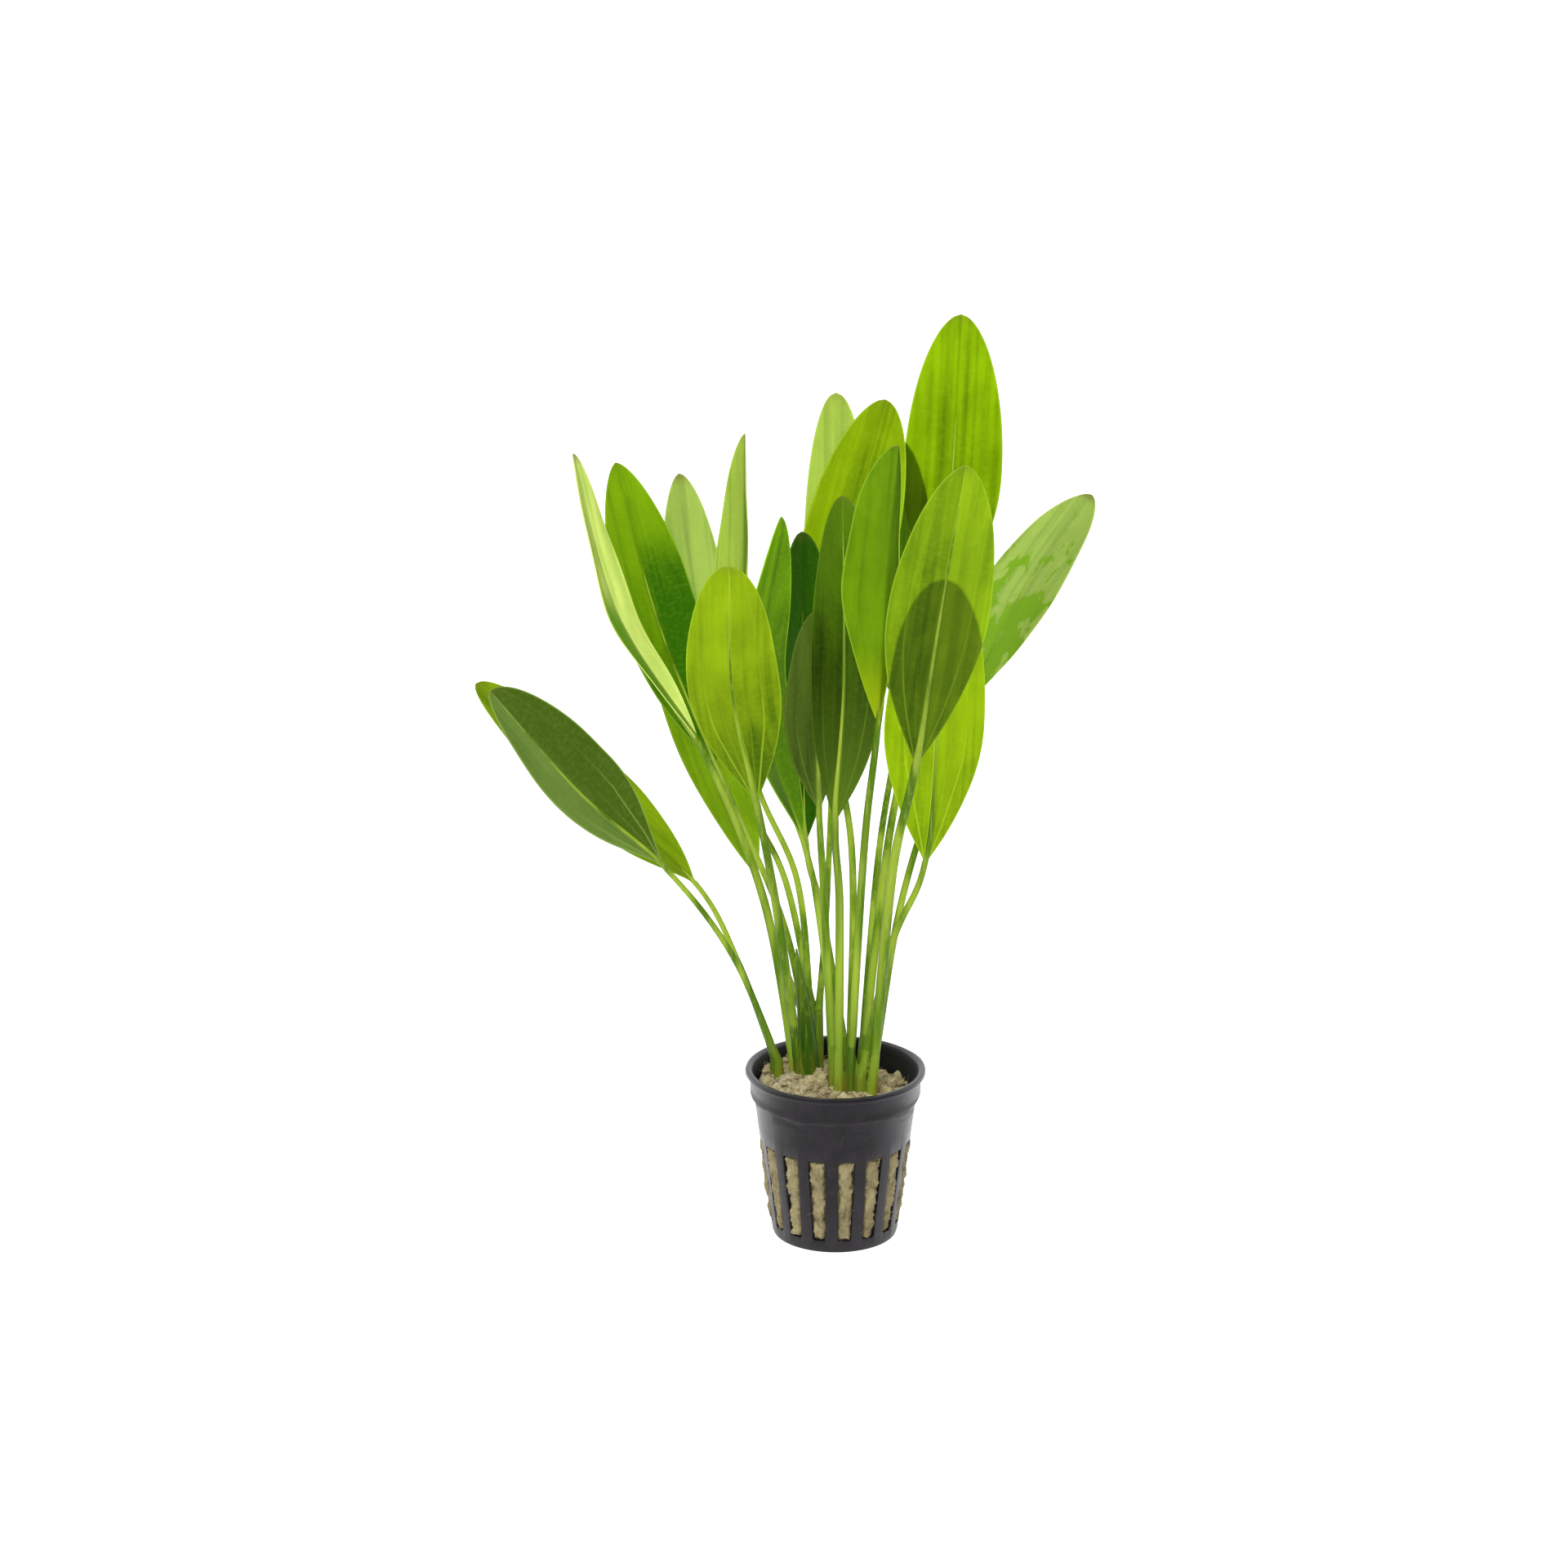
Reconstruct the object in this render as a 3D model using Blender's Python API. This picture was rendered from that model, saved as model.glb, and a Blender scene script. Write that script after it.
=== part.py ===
"""A potted echinodorus (Amazon sword): twenty leaves on their stalks, in rock wool, in a 5 cm net pot.

Metres, +Z up. The origin is the centre of the pot's underside, and the photograph looks along +Y.
The leaves' points are given in millimetres.
"""

import math

import bmesh
import bpy
from mathutils import Vector, noise

MM = 0.001
GAP = 0.3

POT_HEIGHT = 51.5
RIM_RADIUS = 26.5
LIP_HEIGHT = 2.2
COLLAR_RADIUS = 25.1
COLLAR_FOOT = 43.2
WALL_TOP_RADIUS = 23.9
BASE_RADIUS = 18.6
WALL = 1.2
FLOOR = 1.5
POT_SIDES = 48

SLOT_COUNT = 16
SLOT_TURN = math.radians(8.6)
SLOT_FOOT = 4.0
SLOT_HEAD = 30.0
SLOT_FOOT_WIDTH = 3.8
SLOT_HEAD_WIDTH = 5.2
FLOOR_SLOT_COUNT = 8
FLOOR_SLOT_INNER = 7.5
FLOOR_SLOT_OUTER = 14.5
FLOOR_SLOT_WIDTH = 3.0

WOOL_TOP = 48.4
WOOL_SAG = 5.2
WOOL_LUMP = 1.1
WOOL_LUMP_SIZE = 5.5
WOOL_SHOULDER = 1.6
WOOL_CLEARANCE = 0.45
WOOL_SEED = Vector((4.7, 2.3, 9.1))
WOOL_BULGE_FOOT = -0.7
WOOL_BULGE_HEAD = 0.3

# A leaf's route has five points: its stalk ends at the third, the neck, and its blade at the fifth, the tip.
NECK = 2
TIP = 4
NECK_RADIUS_SHARE = 0.72
BLADE_STATIONS = (0.0, 0.08, 0.18, 0.32, 0.48, 0.64, 0.8, 0.92, 1.0)
BLADE_BREADTHS = (-1.0, -0.55, 0.0, 0.55, 1.0)
BLADE_EDGE_THICKNESS = 0.5
BLADE_RIB_THICKNESS = 1.1
BLADE_TIP_WIDTH = 0.7
BASE_TAPER = 1.2
FOLD_ROUNDNESS = 1.3
STALK_SIDES = 8
STALK_STEPS = 4
CROWN_SIDES = 12

# Each leaf: the points that its stalk and midrib pass through (root, knee, neck, belly, tip), the
# direction that its upper side faces, the blade's width, how far its halves fold up, the stalk's radius
# at the root, how its tip narrows (0.5 is round, 0.7 is pointed), and the tone of its green.
LEAVES = {
    "far_left_back": dict(
        route=[(-17.9, 0.4, 54.0), (-28.3, 1.0, 83.2), (-40.8, 2.5, 107.2),
               (-68.4, -1.0, 134.9), (-102.7, -6.0, 169.8)],
        facing=(0.35, -0.60, 0.70), width=22.0, fold=0.16, stalk=1.05,
        tip=0.55, tone="fresh"),
    "far_left_front": dict(
        route=[(-16.6, -2.6, 54.0), (-30.0, -5.5, 88.0), (-48.6, -8.5, 115.0),
               (-71.6, -14.0, 141.8), (-97.5, -20.0, 171.7)],
        facing=(0.30, -0.75, 0.55), width=22.5, fold=0.20, stalk=1.05,
        tip=0.55, tone="deep"),
    "left_folded": dict(
        route=[(-11.9, 1.0, 52.0), (-21.4, 1.5, 104.0), (-39.2, 6.0, 148.0),
               (-63.0, 14.0, 184.6), (-75.9, 24.0, 230.0)],
        facing=(0.90, -0.225, 0.37), width=19.5, fold=0.16, stalk=1.45,
        tip=0.62, tone="pale"),
    "left_low": dict(
        route=[(-10.0, 2.6, 68.3), (-17.6, 9.0, 86.1), (-23.1, 22.0, 102.2),
               (-40.4, 38.5, 146.5), (-57.1, 55.0, 186.9)],
        facing=(0.36, -0.86, 0.36), width=22.0, fold=0.20, stalk=1.15,
        tip=0.62, tone="fresh"),
    "front_left": dict(
        route=[(-10.5, -2.6, 52.0), (-17.0, -12.0, 104.0), (-22.5, -20.0, 138.6),
               (-29.0, -31.0, 174.5), (-29.5, -42.0, 213.5)],
        facing=(0.15, 0.92, 0.30), width=26.3, fold=0.16, stalk=1.45,
        tip=0.52, tone="fresh"),
    "left_tall": dict(
        route=[(-9.4, 5.2, 68.3), (-16.8, 17.0, 94.0), (-34.7, 27.0, 133.7),
               (-52.7, 40.0, 176.2), (-65.3, 52.0, 221.0)],
        facing=(0.45, -0.85, 0.30), width=25.5, fold=0.18, stalk=1.15,
        tip=0.66, tone="fresh"),
    "back_left": dict(
        route=[(-6.8, 5.2, 68.3), (-15.2, 20.0, 103.0), (-28.9, 38.0, 127.0),
               (-41.0, 58.0, 169.0), (-47.5, 74.0, 212.7)],
        facing=(0.30, -0.85, 0.45), width=20.0, fold=0.20, stalk=1.10,
        tip=0.60, tone="pale"),
    "back_narrow": dict(
        route=[(-7.3, 1.9, 68.3), (-11.5, 13.0, 105.0), (-24.6, 28.0, 134.7),
               (-27.6, 43.5, 182.0), (-27.5, 58.0, 228.4)],
        facing=(-0.90, -0.42, 0.13), width=22.0, fold=0.36, stalk=1.10,
        tip=0.67, tone="pale"),
    "middle_left": dict(
        route=[(0.9, -7.9, 53.5), (-4.9, -4.5, 100.3), (-9.5, -1.0, 121.5),
               (-22.6, 4.0, 166.5), (-16.0, 12.0, 214.5)],
        facing=(0.82, -0.52, 0.20), width=22.0, fold=0.22, stalk=1.20,
        tip=0.67, tone="fresh"),
    "middle_dark": dict(
        route=[(3.9, -7.1, 53.5), (-4.2, 5.0, 98.0), (-8.8, 12.0, 116.5),
               (-9.7, 20.0, 159.6), (-10.3, 28.0, 206.2)],
        facing=(0.55, -0.80, 0.22), width=22.0, fold=0.20, stalk=1.20,
        tip=0.52, tone="deep"),
    "middle_low": dict(
        route=[(-0.7, -11.3, 53.5), (-3.5, -9.0, 107.5), (-5.0, -6.0, 131.9),
               (-5.8, -2.5, 158.9), (-6.1, 0.0, 190.0)],
        facing=(-0.45, 0.88, 0.15), width=18.5, fold=0.18, stalk=1.30,
        tip=0.60, tone="deep"),
    "middle_front": dict(
        route=[(0.9, -14.8, 53.5), (1.0, -14.2, 105.9), (-0.3, -13.5, 130.9),
               (2.1, -13.0, 173.8), (1.4, -15.0, 227.0)],
        facing=(0.42, 0.88, 0.20), width=23.0, fold=0.18, stalk=1.40,
        tip=0.56, tone="deep"),
    "middle_right": dict(
        route=[(4.2, -14.2, 53.5), (7.9, -17.0, 124.4), (11.5, -20.5, 162.0),
               (14.0, -23.5, 204.0), (16.7, -28.0, 244.3)],
        facing=(-0.80, -0.56, 0.20), width=26.0, fold=0.46, stalk=1.30,
        tip=0.60, tone="fresh"),
    "back_middle": dict(
        route=[(4.2, -10.6, 53.5), (4.5, 11.0, 115.0), (-3.1, 29.0, 156.8),
               (3.0, 40.0, 199.0), (13.9, 48.0, 240.9)],
        facing=(0.20, -0.92, 0.35), width=28.0, fold=0.16, stalk=1.20,
        tip=0.56, tone="fresh"),
    "back_pale": dict(
        route=[(-4.9, 3.0, 68.3), (-2.8, 22.0, 94.0), (-1.1, 44.0, 140.0),
               (-0.4, 62.0, 188.0), (-0.6, 76.0, 237.0)],
        facing=(0.10, -0.90, 0.42), width=20.0, fold=0.18, stalk=1.10,
        tip=0.50, tone="pale"),
    "back_right": dict(
        route=[(7.4, -6.8, 53.5), (12.2, 12.0, 111.5), (18.3, 36.0, 147.5),
               (20.0, 54.0, 183.0), (19.3, 66.0, 224.3)],
        facing=(-0.50, -0.82, 0.30), width=24.0, fold=0.20, stalk=1.20,
        tip=0.62, tone="deep"),
    "tallest": dict(
        route=[(7.5, -10.4, 53.5), (16.2, 12.0, 124.0), (29.9, 36.0, 176.4),
               (33.5, 47.0, 219.2), (35.7, 53.0, 265.1)],
        facing=(-0.08, -0.95, 0.30), width=29.0, fold=0.12, stalk=1.35,
        tip=0.56, tone="fresh"),
    "front_right": dict(
        route=[(11.0, -14.4, 53.5), (15.8, -22.0, 118.0), (22.0, -30.0, 153.0),
               (27.8, -44.0, 199.0), (34.1, -60.0, 246.0)],
        facing=(-0.12, 0.90, 0.42), width=28.5, fold=0.16, stalk=1.60,
        tip=0.64, tone="fresh"),
    "right_low": dict(
        route=[(7.4, -14.0, 53.5), (16.1, -10.5, 93.5), (25.3, -11.0, 118.0),
               (28.4, -13.0, 160.0), (29.3, -16.0, 203.0)],
        facing=(-0.30, 0.92, 0.20), width=30.0, fold=0.14, stalk=1.25,
        tip=0.50, tone="fresh"),
    "far_right": dict(
        route=[(10.8, -10.2, 53.5), (20.0, 6.0, 105.0), (37.5, 24.0, 154.0),
               (53.7, 38.0, 185.0), (74.6, 50.0, 212.2)],
        facing=(-0.40, -0.72, 0.56), width=23.0, fold=0.18, stalk=1.20,
        tip=0.60, tone="pale"),
}

# The fused feet of the stalks, as ellipses stacked from the wool upwards: height, centre and half widths.
CROWNS = {
    "crown_far_left": [
        (43.0, (-16.8, -1.4), (2.0, 2.2)),
        (49.0, (-17.4, -1.2), (2.7, 3.2)),
        (53.3, (-17.5, -1.1), (2.3, 3.0)),
    ],
    "crown_left": [
        (43.0, (-8.8, 1.2), (4.6, 3.8)),
        (49.0, (-8.9, 1.0), (4.9, 4.8)),
        (51.4, (-9.0, 0.9), (5.0, 4.9)),
        (52.0, (-7.0, 3.8), (4.2, 3.0)),
        (60.0, (-7.2, 3.7), (4.0, 3.1)),
        (67.3, (-7.4, 3.6), (3.9, 3.0)),
    ],
    "crown_front": [
        (43.0, (5.2, -10.0), (5.0, 4.6)),
        (49.0, (5.3, -10.0), (7.6, 6.4)),
        (52.8, (5.3, -10.0), (7.4, 6.2)),
    ],
}

COLOURS = {
    "pot": (0.045, 0.040, 0.048),
    "rock_wool": (0.58, 0.49, 0.25),
    "crown": (0.10, 0.24, 0.02),
    "stalk": (0.33, 0.47, 0.06),
    "leaf_fresh": (0.24, 0.45, 0.02),
    "leaf_deep": (0.06, 0.16, 0.013),
    "leaf_pale": (0.35, 0.49, 0.10),
}
ROUGHNESS = {
    "pot": 0.38,
    "rock_wool": 0.95,
    "crown": 0.5,
    "stalk": 0.42,
    "leaf_fresh": 0.4,
    "leaf_deep": 0.4,
    "leaf_pale": 0.4,
}


def finish(kind):
    """The material of one kind of piece, made once."""
    material = bpy.data.materials.get(kind)
    if material is None:
        material = bpy.data.materials.new(kind)
        material.use_nodes = True
        shader = material.node_tree.nodes["Principled BSDF"]
        shader.inputs["Base Color"].default_value = (*COLOURS[kind], 1.0)
        shader.inputs["Roughness"].default_value = ROUGHNESS[kind]
        shader.inputs["Metallic"].default_value = 0.0
        material.diffuse_color = (*COLOURS[kind], 1.0)
    return material


def add_object(name, mesh, kind, parent):
    """The mesh as an object of the scene, with its finish."""
    piece = bpy.data.objects.new(name, mesh)
    bpy.context.collection.objects.link(piece)
    piece.parent = parent
    if kind:
        mesh.materials.append(finish(kind))
    return piece


def mesh_from(name, bm, smooth_angle=None):
    """The bmesh, closed and facing outwards, as a mesh in metres."""
    bmesh.ops.scale(bm, vec=(MM, MM, MM), verts=bm.verts)
    bmesh.ops.recalc_face_normals(bm, faces=bm.faces)
    mesh = bpy.data.meshes.new(name)
    bm.to_mesh(mesh)
    bm.free()
    if smooth_angle:
        mesh.shade_smooth()
        mesh.set_sharp_from_angle(angle=math.radians(smooth_angle))
    return mesh


def ring(bm, points):
    return [bm.verts.new(point) for point in points]


def bridge(bm, lower, upper):
    """Quads between two closed rings of equally many points."""
    count = len(lower)
    for i in range(count):
        after = (i + 1) % count
        bm.faces.new((lower[i], lower[after], upper[after], upper[i]))


def circle(radius, height, sides=POT_SIDES, turn=SLOT_TURN):
    """A level circle that has a point in the middle of each slot."""
    angles = [turn + 2 * math.pi * i / sides for i in range(sides)]
    return [(radius * math.sin(a), -radius * math.cos(a), height) for a in angles]


def wall_radius(height):
    """The outer radius of the tapered wall below the collar."""
    return BASE_RADIUS + (WALL_TOP_RADIUS - BASE_RADIUS) * height / COLLAR_FOOT


def pot_profile():
    """(radius, height) from the underside up the outside, over the lip and down the inside to the floor."""
    lip_middle = POT_HEIGHT - LIP_HEIGHT / 2
    outside = [
        (BASE_RADIUS - 1.0, 0.0),
        (BASE_RADIUS, 1.1),
        (wall_radius(SLOT_HEAD + 4), SLOT_HEAD + 4),
        (WALL_TOP_RADIUS - 0.1, COLLAR_FOOT - 0.9),
        (COLLAR_RADIUS - 0.4, COLLAR_FOOT),
        (COLLAR_RADIUS, POT_HEIGHT - LIP_HEIGHT - 0.2),
    ]
    lip = [
        (RIM_RADIUS - 0.3, lip_middle - 0.7),
        (RIM_RADIUS, lip_middle + 0.1),
        (RIM_RADIUS - 0.5, POT_HEIGHT - 0.2),
        (RIM_RADIUS - 1.2, POT_HEIGHT),
        (COLLAR_RADIUS - WALL + 0.2, POT_HEIGHT - 0.7),
    ]
    inside = [
        (COLLAR_RADIUS - WALL - 0.3, COLLAR_FOOT + 0.4),
        (WALL_TOP_RADIUS - WALL, COLLAR_FOOT - 1.4),
        (wall_radius(FLOOR) - WALL, FLOOR),
    ]
    return outside + lip + inside


def cut_away(piece, label, mesh, parent):
    """Cuts the mesh's shape out of the piece, with a cutter that isn't rendered."""
    cutter = add_object(mesh.name, mesh, None, parent)
    cutter.hide_render = True
    cutter.display_type = "WIRE"
    cut = piece.modifiers.new(label, "BOOLEAN")
    cut.operation = "DIFFERENCE"
    cut.object = cutter


def wedge(bm, angle, heights, reach, widths):
    """A radial cutter between two heights and two radii, with a width of its own at its foot and its head."""
    out = Vector((math.sin(angle), -math.cos(angle), 0))
    side = Vector((math.cos(angle), math.sin(angle), 0))
    inner, outer = reach
    rings = []
    for height, width in zip(heights, widths):
        corners = [(inner, -width), (outer, -width), (outer, width), (inner, width)]
        rings.append(ring(bm, [out * r + side * w / 2 + Vector((0, 0, height)) for r, w in corners]))
    bridge(bm, *rings)
    bm.faces.new(rings[0])
    bm.faces.new(rings[1])


def make_pot(parent):
    """The net pot: a turned wall and floor, with its slots cut through."""
    bm = bmesh.new()
    rings = [ring(bm, circle(radius, height)) for radius, height in pot_profile()]
    for lower, upper in zip(rings, rings[1:]):
        bridge(bm, lower, upper)
    bm.faces.new(rings[0])
    bm.faces.new(rings[-1])
    pot = add_object("pot", mesh_from("pot", bm, 35), "pot", parent)

    bm = bmesh.new()
    for i in range(SLOT_COUNT):
        angle = SLOT_TURN + 2 * math.pi * i / SLOT_COUNT
        reach = (BASE_RADIUS - 3, RIM_RADIUS + 2)
        wedge(bm, angle, (SLOT_FOOT, SLOT_HEAD), reach, (SLOT_FOOT_WIDTH, SLOT_HEAD_WIDTH))
    for i in range(FLOOR_SLOT_COUNT):
        angle = SLOT_TURN + 2 * math.pi * i / FLOOR_SLOT_COUNT
        reach = (FLOOR_SLOT_INNER, FLOOR_SLOT_OUTER)
        wedge(bm, angle, (-1, FLOOR + 1), reach, (FLOOR_SLOT_WIDTH, FLOOR_SLOT_WIDTH))
    cut_away(pot, "Slots", mesh_from("slot_cutter", bm), parent)


def wool_surface(x, y):
    """The height of the wool's top: lumpy, and lower towards the back right."""
    slope = max(0.0, (x + 1.4 * y) / (1.7 * WALL_TOP_RADIUS))
    lump = noise.noise(Vector((x, y, 0)) / WOOL_LUMP_SIZE + WOOL_SEED)
    return WOOL_TOP - WOOL_SAG * slope + WOOL_LUMP * lump


def wool_rings():
    """The wool's outside from its foot to its shoulder: it swells out a little in each slot."""
    clear = WALL + WOOL_CLEARANCE
    levels = [
        (FLOOR + GAP, None),
        (SLOT_FOOT - 1.0, None),
        (SLOT_FOOT + 2.0, WOOL_BULGE_FOOT),
        (SLOT_HEAD - 2.5, WOOL_BULGE_HEAD),
        (SLOT_HEAD - 0.2, None),
        (COLLAR_FOOT - 2.0, None),
    ]
    sides_per_slot = POT_SIDES // SLOT_COUNT
    rings = []
    for height, bulge in levels:
        points = circle(wall_radius(height) - clear, height)
        if bulge is not None:
            crest = circle(wall_radius(height) + bulge, height)
            points = [points[i] if i % sides_per_slot else crest[i] for i in range(POT_SIDES)]
        rings.append(points)
    for share, drop in ((1.0, WOOL_SHOULDER), (0.8, 0.0), (0.55, 0.0), (0.28, 0.0)):
        flat = circle((WALL_TOP_RADIUS - clear) * share, 0)
        rings.append([(x, y, wool_surface(x, y) - drop) for x, y, _ in flat])
    return rings


def make_rock_wool(parent, crowns):
    """The rock wool that fills the pot, with a pocket for each crown."""
    bm = bmesh.new()
    rings = [ring(bm, points) for points in wool_rings()]
    for lower, upper in zip(rings, rings[1:]):
        bridge(bm, lower, upper)
    bm.faces.new(rings[0])
    centre = bm.verts.new((0, 0, wool_surface(0, 0)))
    last = rings[-1]
    for i in range(POT_SIDES):
        bm.faces.new((last[i], last[(i + 1) % POT_SIDES], centre))
    wool = add_object("rock_wool", mesh_from("rock_wool", bm), "rock_wool", parent)
    for name, levels in crowns.items():
        bm = bmesh.new()
        loft(bm, crown_ellipses(levels, GAP))
        cut_away(wool, "Pocket of " + name, mesh_from("pocket_" + name, bm), parent)


def crown_ellipses(levels, grown=0.0):
    """The ellipses of one crown as rings of points, grown by a gap for its pocket."""
    angles = [2 * math.pi * k / CROWN_SIDES for k in range(CROWN_SIDES)]
    rings = []
    for height, (x, y), (wide, deep) in levels:
        wide += grown
        deep += grown
        rings.append([(x + wide * math.cos(a), y + deep * math.sin(a), height) for a in angles])
    lowest = levels[0][0] - grown
    rings[0] = [(x, y, lowest) for x, y, _ in rings[0]]
    return rings


def loft(bm, rings):
    """A closed skin over stacked rings, with both ends capped."""
    rings = [ring(bm, points) for points in rings]
    for lower, upper in zip(rings, rings[1:]):
        bridge(bm, lower, upper)
    bm.faces.new(rings[0])
    bm.faces.new(rings[-1])


def make_crown(name, levels, parent):
    """The fused sheaths at the foot of one bunch of stalks."""
    bm = bmesh.new()
    loft(bm, crown_ellipses(levels))
    add_object(name, mesh_from(name, bm, 40), "crown", parent)


def on_route(route, place):
    """The point and direction at place on the smooth curve through the points: 0 is the first, 1 the next."""
    points = [Vector(point) for point in route]
    before = points[0] * 2 - points[1]
    after = points[-1] * 2 - points[-2]
    points = [before, *points, after]
    i = min(int(place), len(route) - 2)
    s = place - i
    a, b, c, d = points[i : i + 4]
    point = (2 * b + (c - a) * s + (2 * a - 5 * b + 4 * c - d) * s**2 + (3 * b - a - 3 * c + d) * s**3) / 2
    heading = (c - a) + 2 * (2 * a - 5 * b + 4 * c - d) * s + 3 * (3 * b - a - 3 * c + d) * s**2
    return point, heading.normalized()


def across(heading, facing):
    """The blade's sideways and upward directions at a point of its midrib."""
    side = heading.cross(Vector(facing)).normalized()
    return side, side.cross(heading)


def blade_width(u, tip):
    """The share of the full width at u, from 0 at the neck to 1 at the tip."""
    return (4 * u * (1 - u)) ** (BASE_TAPER if u < 0.5 else tip)


def make_stalk(name, leaf, parent):
    """A tapered round stalk from the crown to the neck of the blade."""
    curve = bpy.data.curves.new("stalk_" + name, "CURVE")
    curve.dimensions = "3D"
    curve.bevel_depth = MM
    curve.bevel_resolution = STALK_SIDES // 4
    curve.use_fill_caps = True
    steps = NECK * STALK_STEPS
    spline = curve.splines.new("POLY")
    spline.points.add(steps)
    for i, point in enumerate(spline.points):
        share = i / steps
        spot, _ = on_route(leaf["route"], NECK * share)
        point.co = (*(spot * MM), 1)
        point.radius = leaf["stalk"] * (1 - (1 - NECK_RADIUS_SHARE) * share)
    curve.materials.append(finish("stalk"))
    stalk = bpy.data.objects.new("stalk_" + name, curve)
    bpy.context.collection.objects.link(stalk)
    stalk.parent = parent


def make_blade(name, leaf, parent):
    """The blade: a sheet along the midrib, folded up a little from it, thickest along the rib below."""
    bm = bmesh.new()
    sections = []
    neck_width = 2 * leaf["stalk"] * NECK_RADIUS_SHARE
    for u in BLADE_STATIONS:
        spot, heading = on_route(leaf["route"], NECK + (TIP - NECK) * u)
        if u == 0.0:
            spot = spot + heading * GAP
        side, up = across(heading, leaf["facing"])
        narrowest = neck_width * (1 - u) + BLADE_TIP_WIDTH * u
        half = max(leaf["width"] * blade_width(u, leaf["tip"]), narrowest) / 2
        top = []
        bottom = []
        for share in BLADE_BREADTHS:
            lift = leaf["fold"] * half * abs(share) ** FOLD_ROUNDNESS
            thick = BLADE_EDGE_THICKNESS if share else BLADE_RIB_THICKNESS * (1 - 0.5 * u)
            place = spot + side * (half * share) + up * lift
            top.append(bm.verts.new(place + up * BLADE_EDGE_THICKNESS / 2))
            bottom.append(bm.verts.new(place + up * (BLADE_EDGE_THICKNESS / 2 - thick)))
        sections.append(top + bottom[::-1])
    for lower, upper in zip(sections, sections[1:]):
        bridge(bm, lower, upper)
    bm.faces.new(sections[0])
    bm.faces.new(sections[-1])
    bmesh.ops.triangulate(bm, faces=bm.faces)
    add_object("leaf_" + name, mesh_from("leaf_" + name, bm, 50), "leaf_" + leaf["tone"], parent)


for old in list(bpy.data.objects):
    bpy.data.objects.remove(old, do_unlink=True)

plant = bpy.data.objects.new("potted_echinodorus", None)
bpy.context.collection.objects.link(plant)

make_pot(plant)
make_rock_wool(plant, CROWNS)
for crown_name, crown_levels in CROWNS.items():
    make_crown(crown_name, crown_levels, plant)
for leaf_name, leaf_form in LEAVES.items():
    make_stalk(leaf_name, leaf_form, plant)
    make_blade(leaf_name, leaf_form, plant)
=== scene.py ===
import math
import random

import bpy
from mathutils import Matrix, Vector, kdtree, noise


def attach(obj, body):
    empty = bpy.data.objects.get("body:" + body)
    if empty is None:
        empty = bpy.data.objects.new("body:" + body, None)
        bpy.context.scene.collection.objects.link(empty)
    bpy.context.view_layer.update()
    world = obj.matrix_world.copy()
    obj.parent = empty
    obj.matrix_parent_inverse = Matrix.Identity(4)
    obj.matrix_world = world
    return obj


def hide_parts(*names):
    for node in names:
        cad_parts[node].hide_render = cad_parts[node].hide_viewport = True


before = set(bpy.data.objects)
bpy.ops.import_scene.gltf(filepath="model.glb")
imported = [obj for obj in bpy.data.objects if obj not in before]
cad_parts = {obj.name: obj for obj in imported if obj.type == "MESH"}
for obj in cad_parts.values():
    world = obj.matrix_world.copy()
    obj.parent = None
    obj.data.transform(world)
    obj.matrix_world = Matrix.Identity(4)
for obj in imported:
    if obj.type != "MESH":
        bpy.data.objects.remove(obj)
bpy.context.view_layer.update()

bpy.ops.object.select_all(action="DESELECT")


# Net pot. It is thin and moulded in one piece from charcoal polypropylene, with a rolled lip, a collar one
# step wider than its wall, sixteen tapering slots round the wall and eight in the floor for the roots.
MM = 0.001
POT_SIDES = 144
SLOT_TURN = math.radians(8.6)
SLOTS, SLOT_FOOT, SLOT_HEAD = 16, 4.0, 30.0
SLOT_FOOT_WIDTH, SLOT_HEAD_WIDTH, SLOT_CORNER = 3.8, 5.2, 0.7
FLOOR_SLOTS, FLOOR_SLOT_MIDDLE = 8, 11.0
FLOOR_SLOT_LENGTH, FLOOR_SLOT_WIDTH, FLOOR_SLOT_CORNER = 7.0, 3.0, 0.9
# Where the cutters' middles are, from the axis and from the underside, and how deep they go.
WALL_CUT, WALL_CUT_DEPTH = 21.5, 13
FLOOR_CUT, FLOOR_CUT_DEPTH = 0.6, 4
# The outside of the wall: its radius at the foot, and how much wider it gets over how much height.
WALL_FOOT, WALL_SPREAD, WALL_RISE = 18.6, 5.3, 43.2
EDGE_ROUNDING, SHARP_EDGE = 0.2, math.radians(50)
# Radius and height, from the underside up the outside, over the lip and down the inside to the floor.
POT_OUTLINE = [
    (17.7, 0.0), (18.3, 0.25), (18.6, 1.1), (22.77, 34.0), (23.75, 42.0), (23.95, 42.6), (24.75, 43.0),
    (24.95, 43.5), (25.0, 44.4), (25.05, 48.9), (25.25, 49.3), (26.15, 49.7), (26.45, 50.1), (26.5, 50.6),
    (26.3, 51.15), (25.8, 51.45), (25.2, 51.45), (24.6, 51.1), (24.15, 50.2), (23.85, 48.6), (23.6, 43.9),
    (22.75, 42.2), (21.57, 34.0), (17.6, 2.2), (17.2, 1.5),
]


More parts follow.
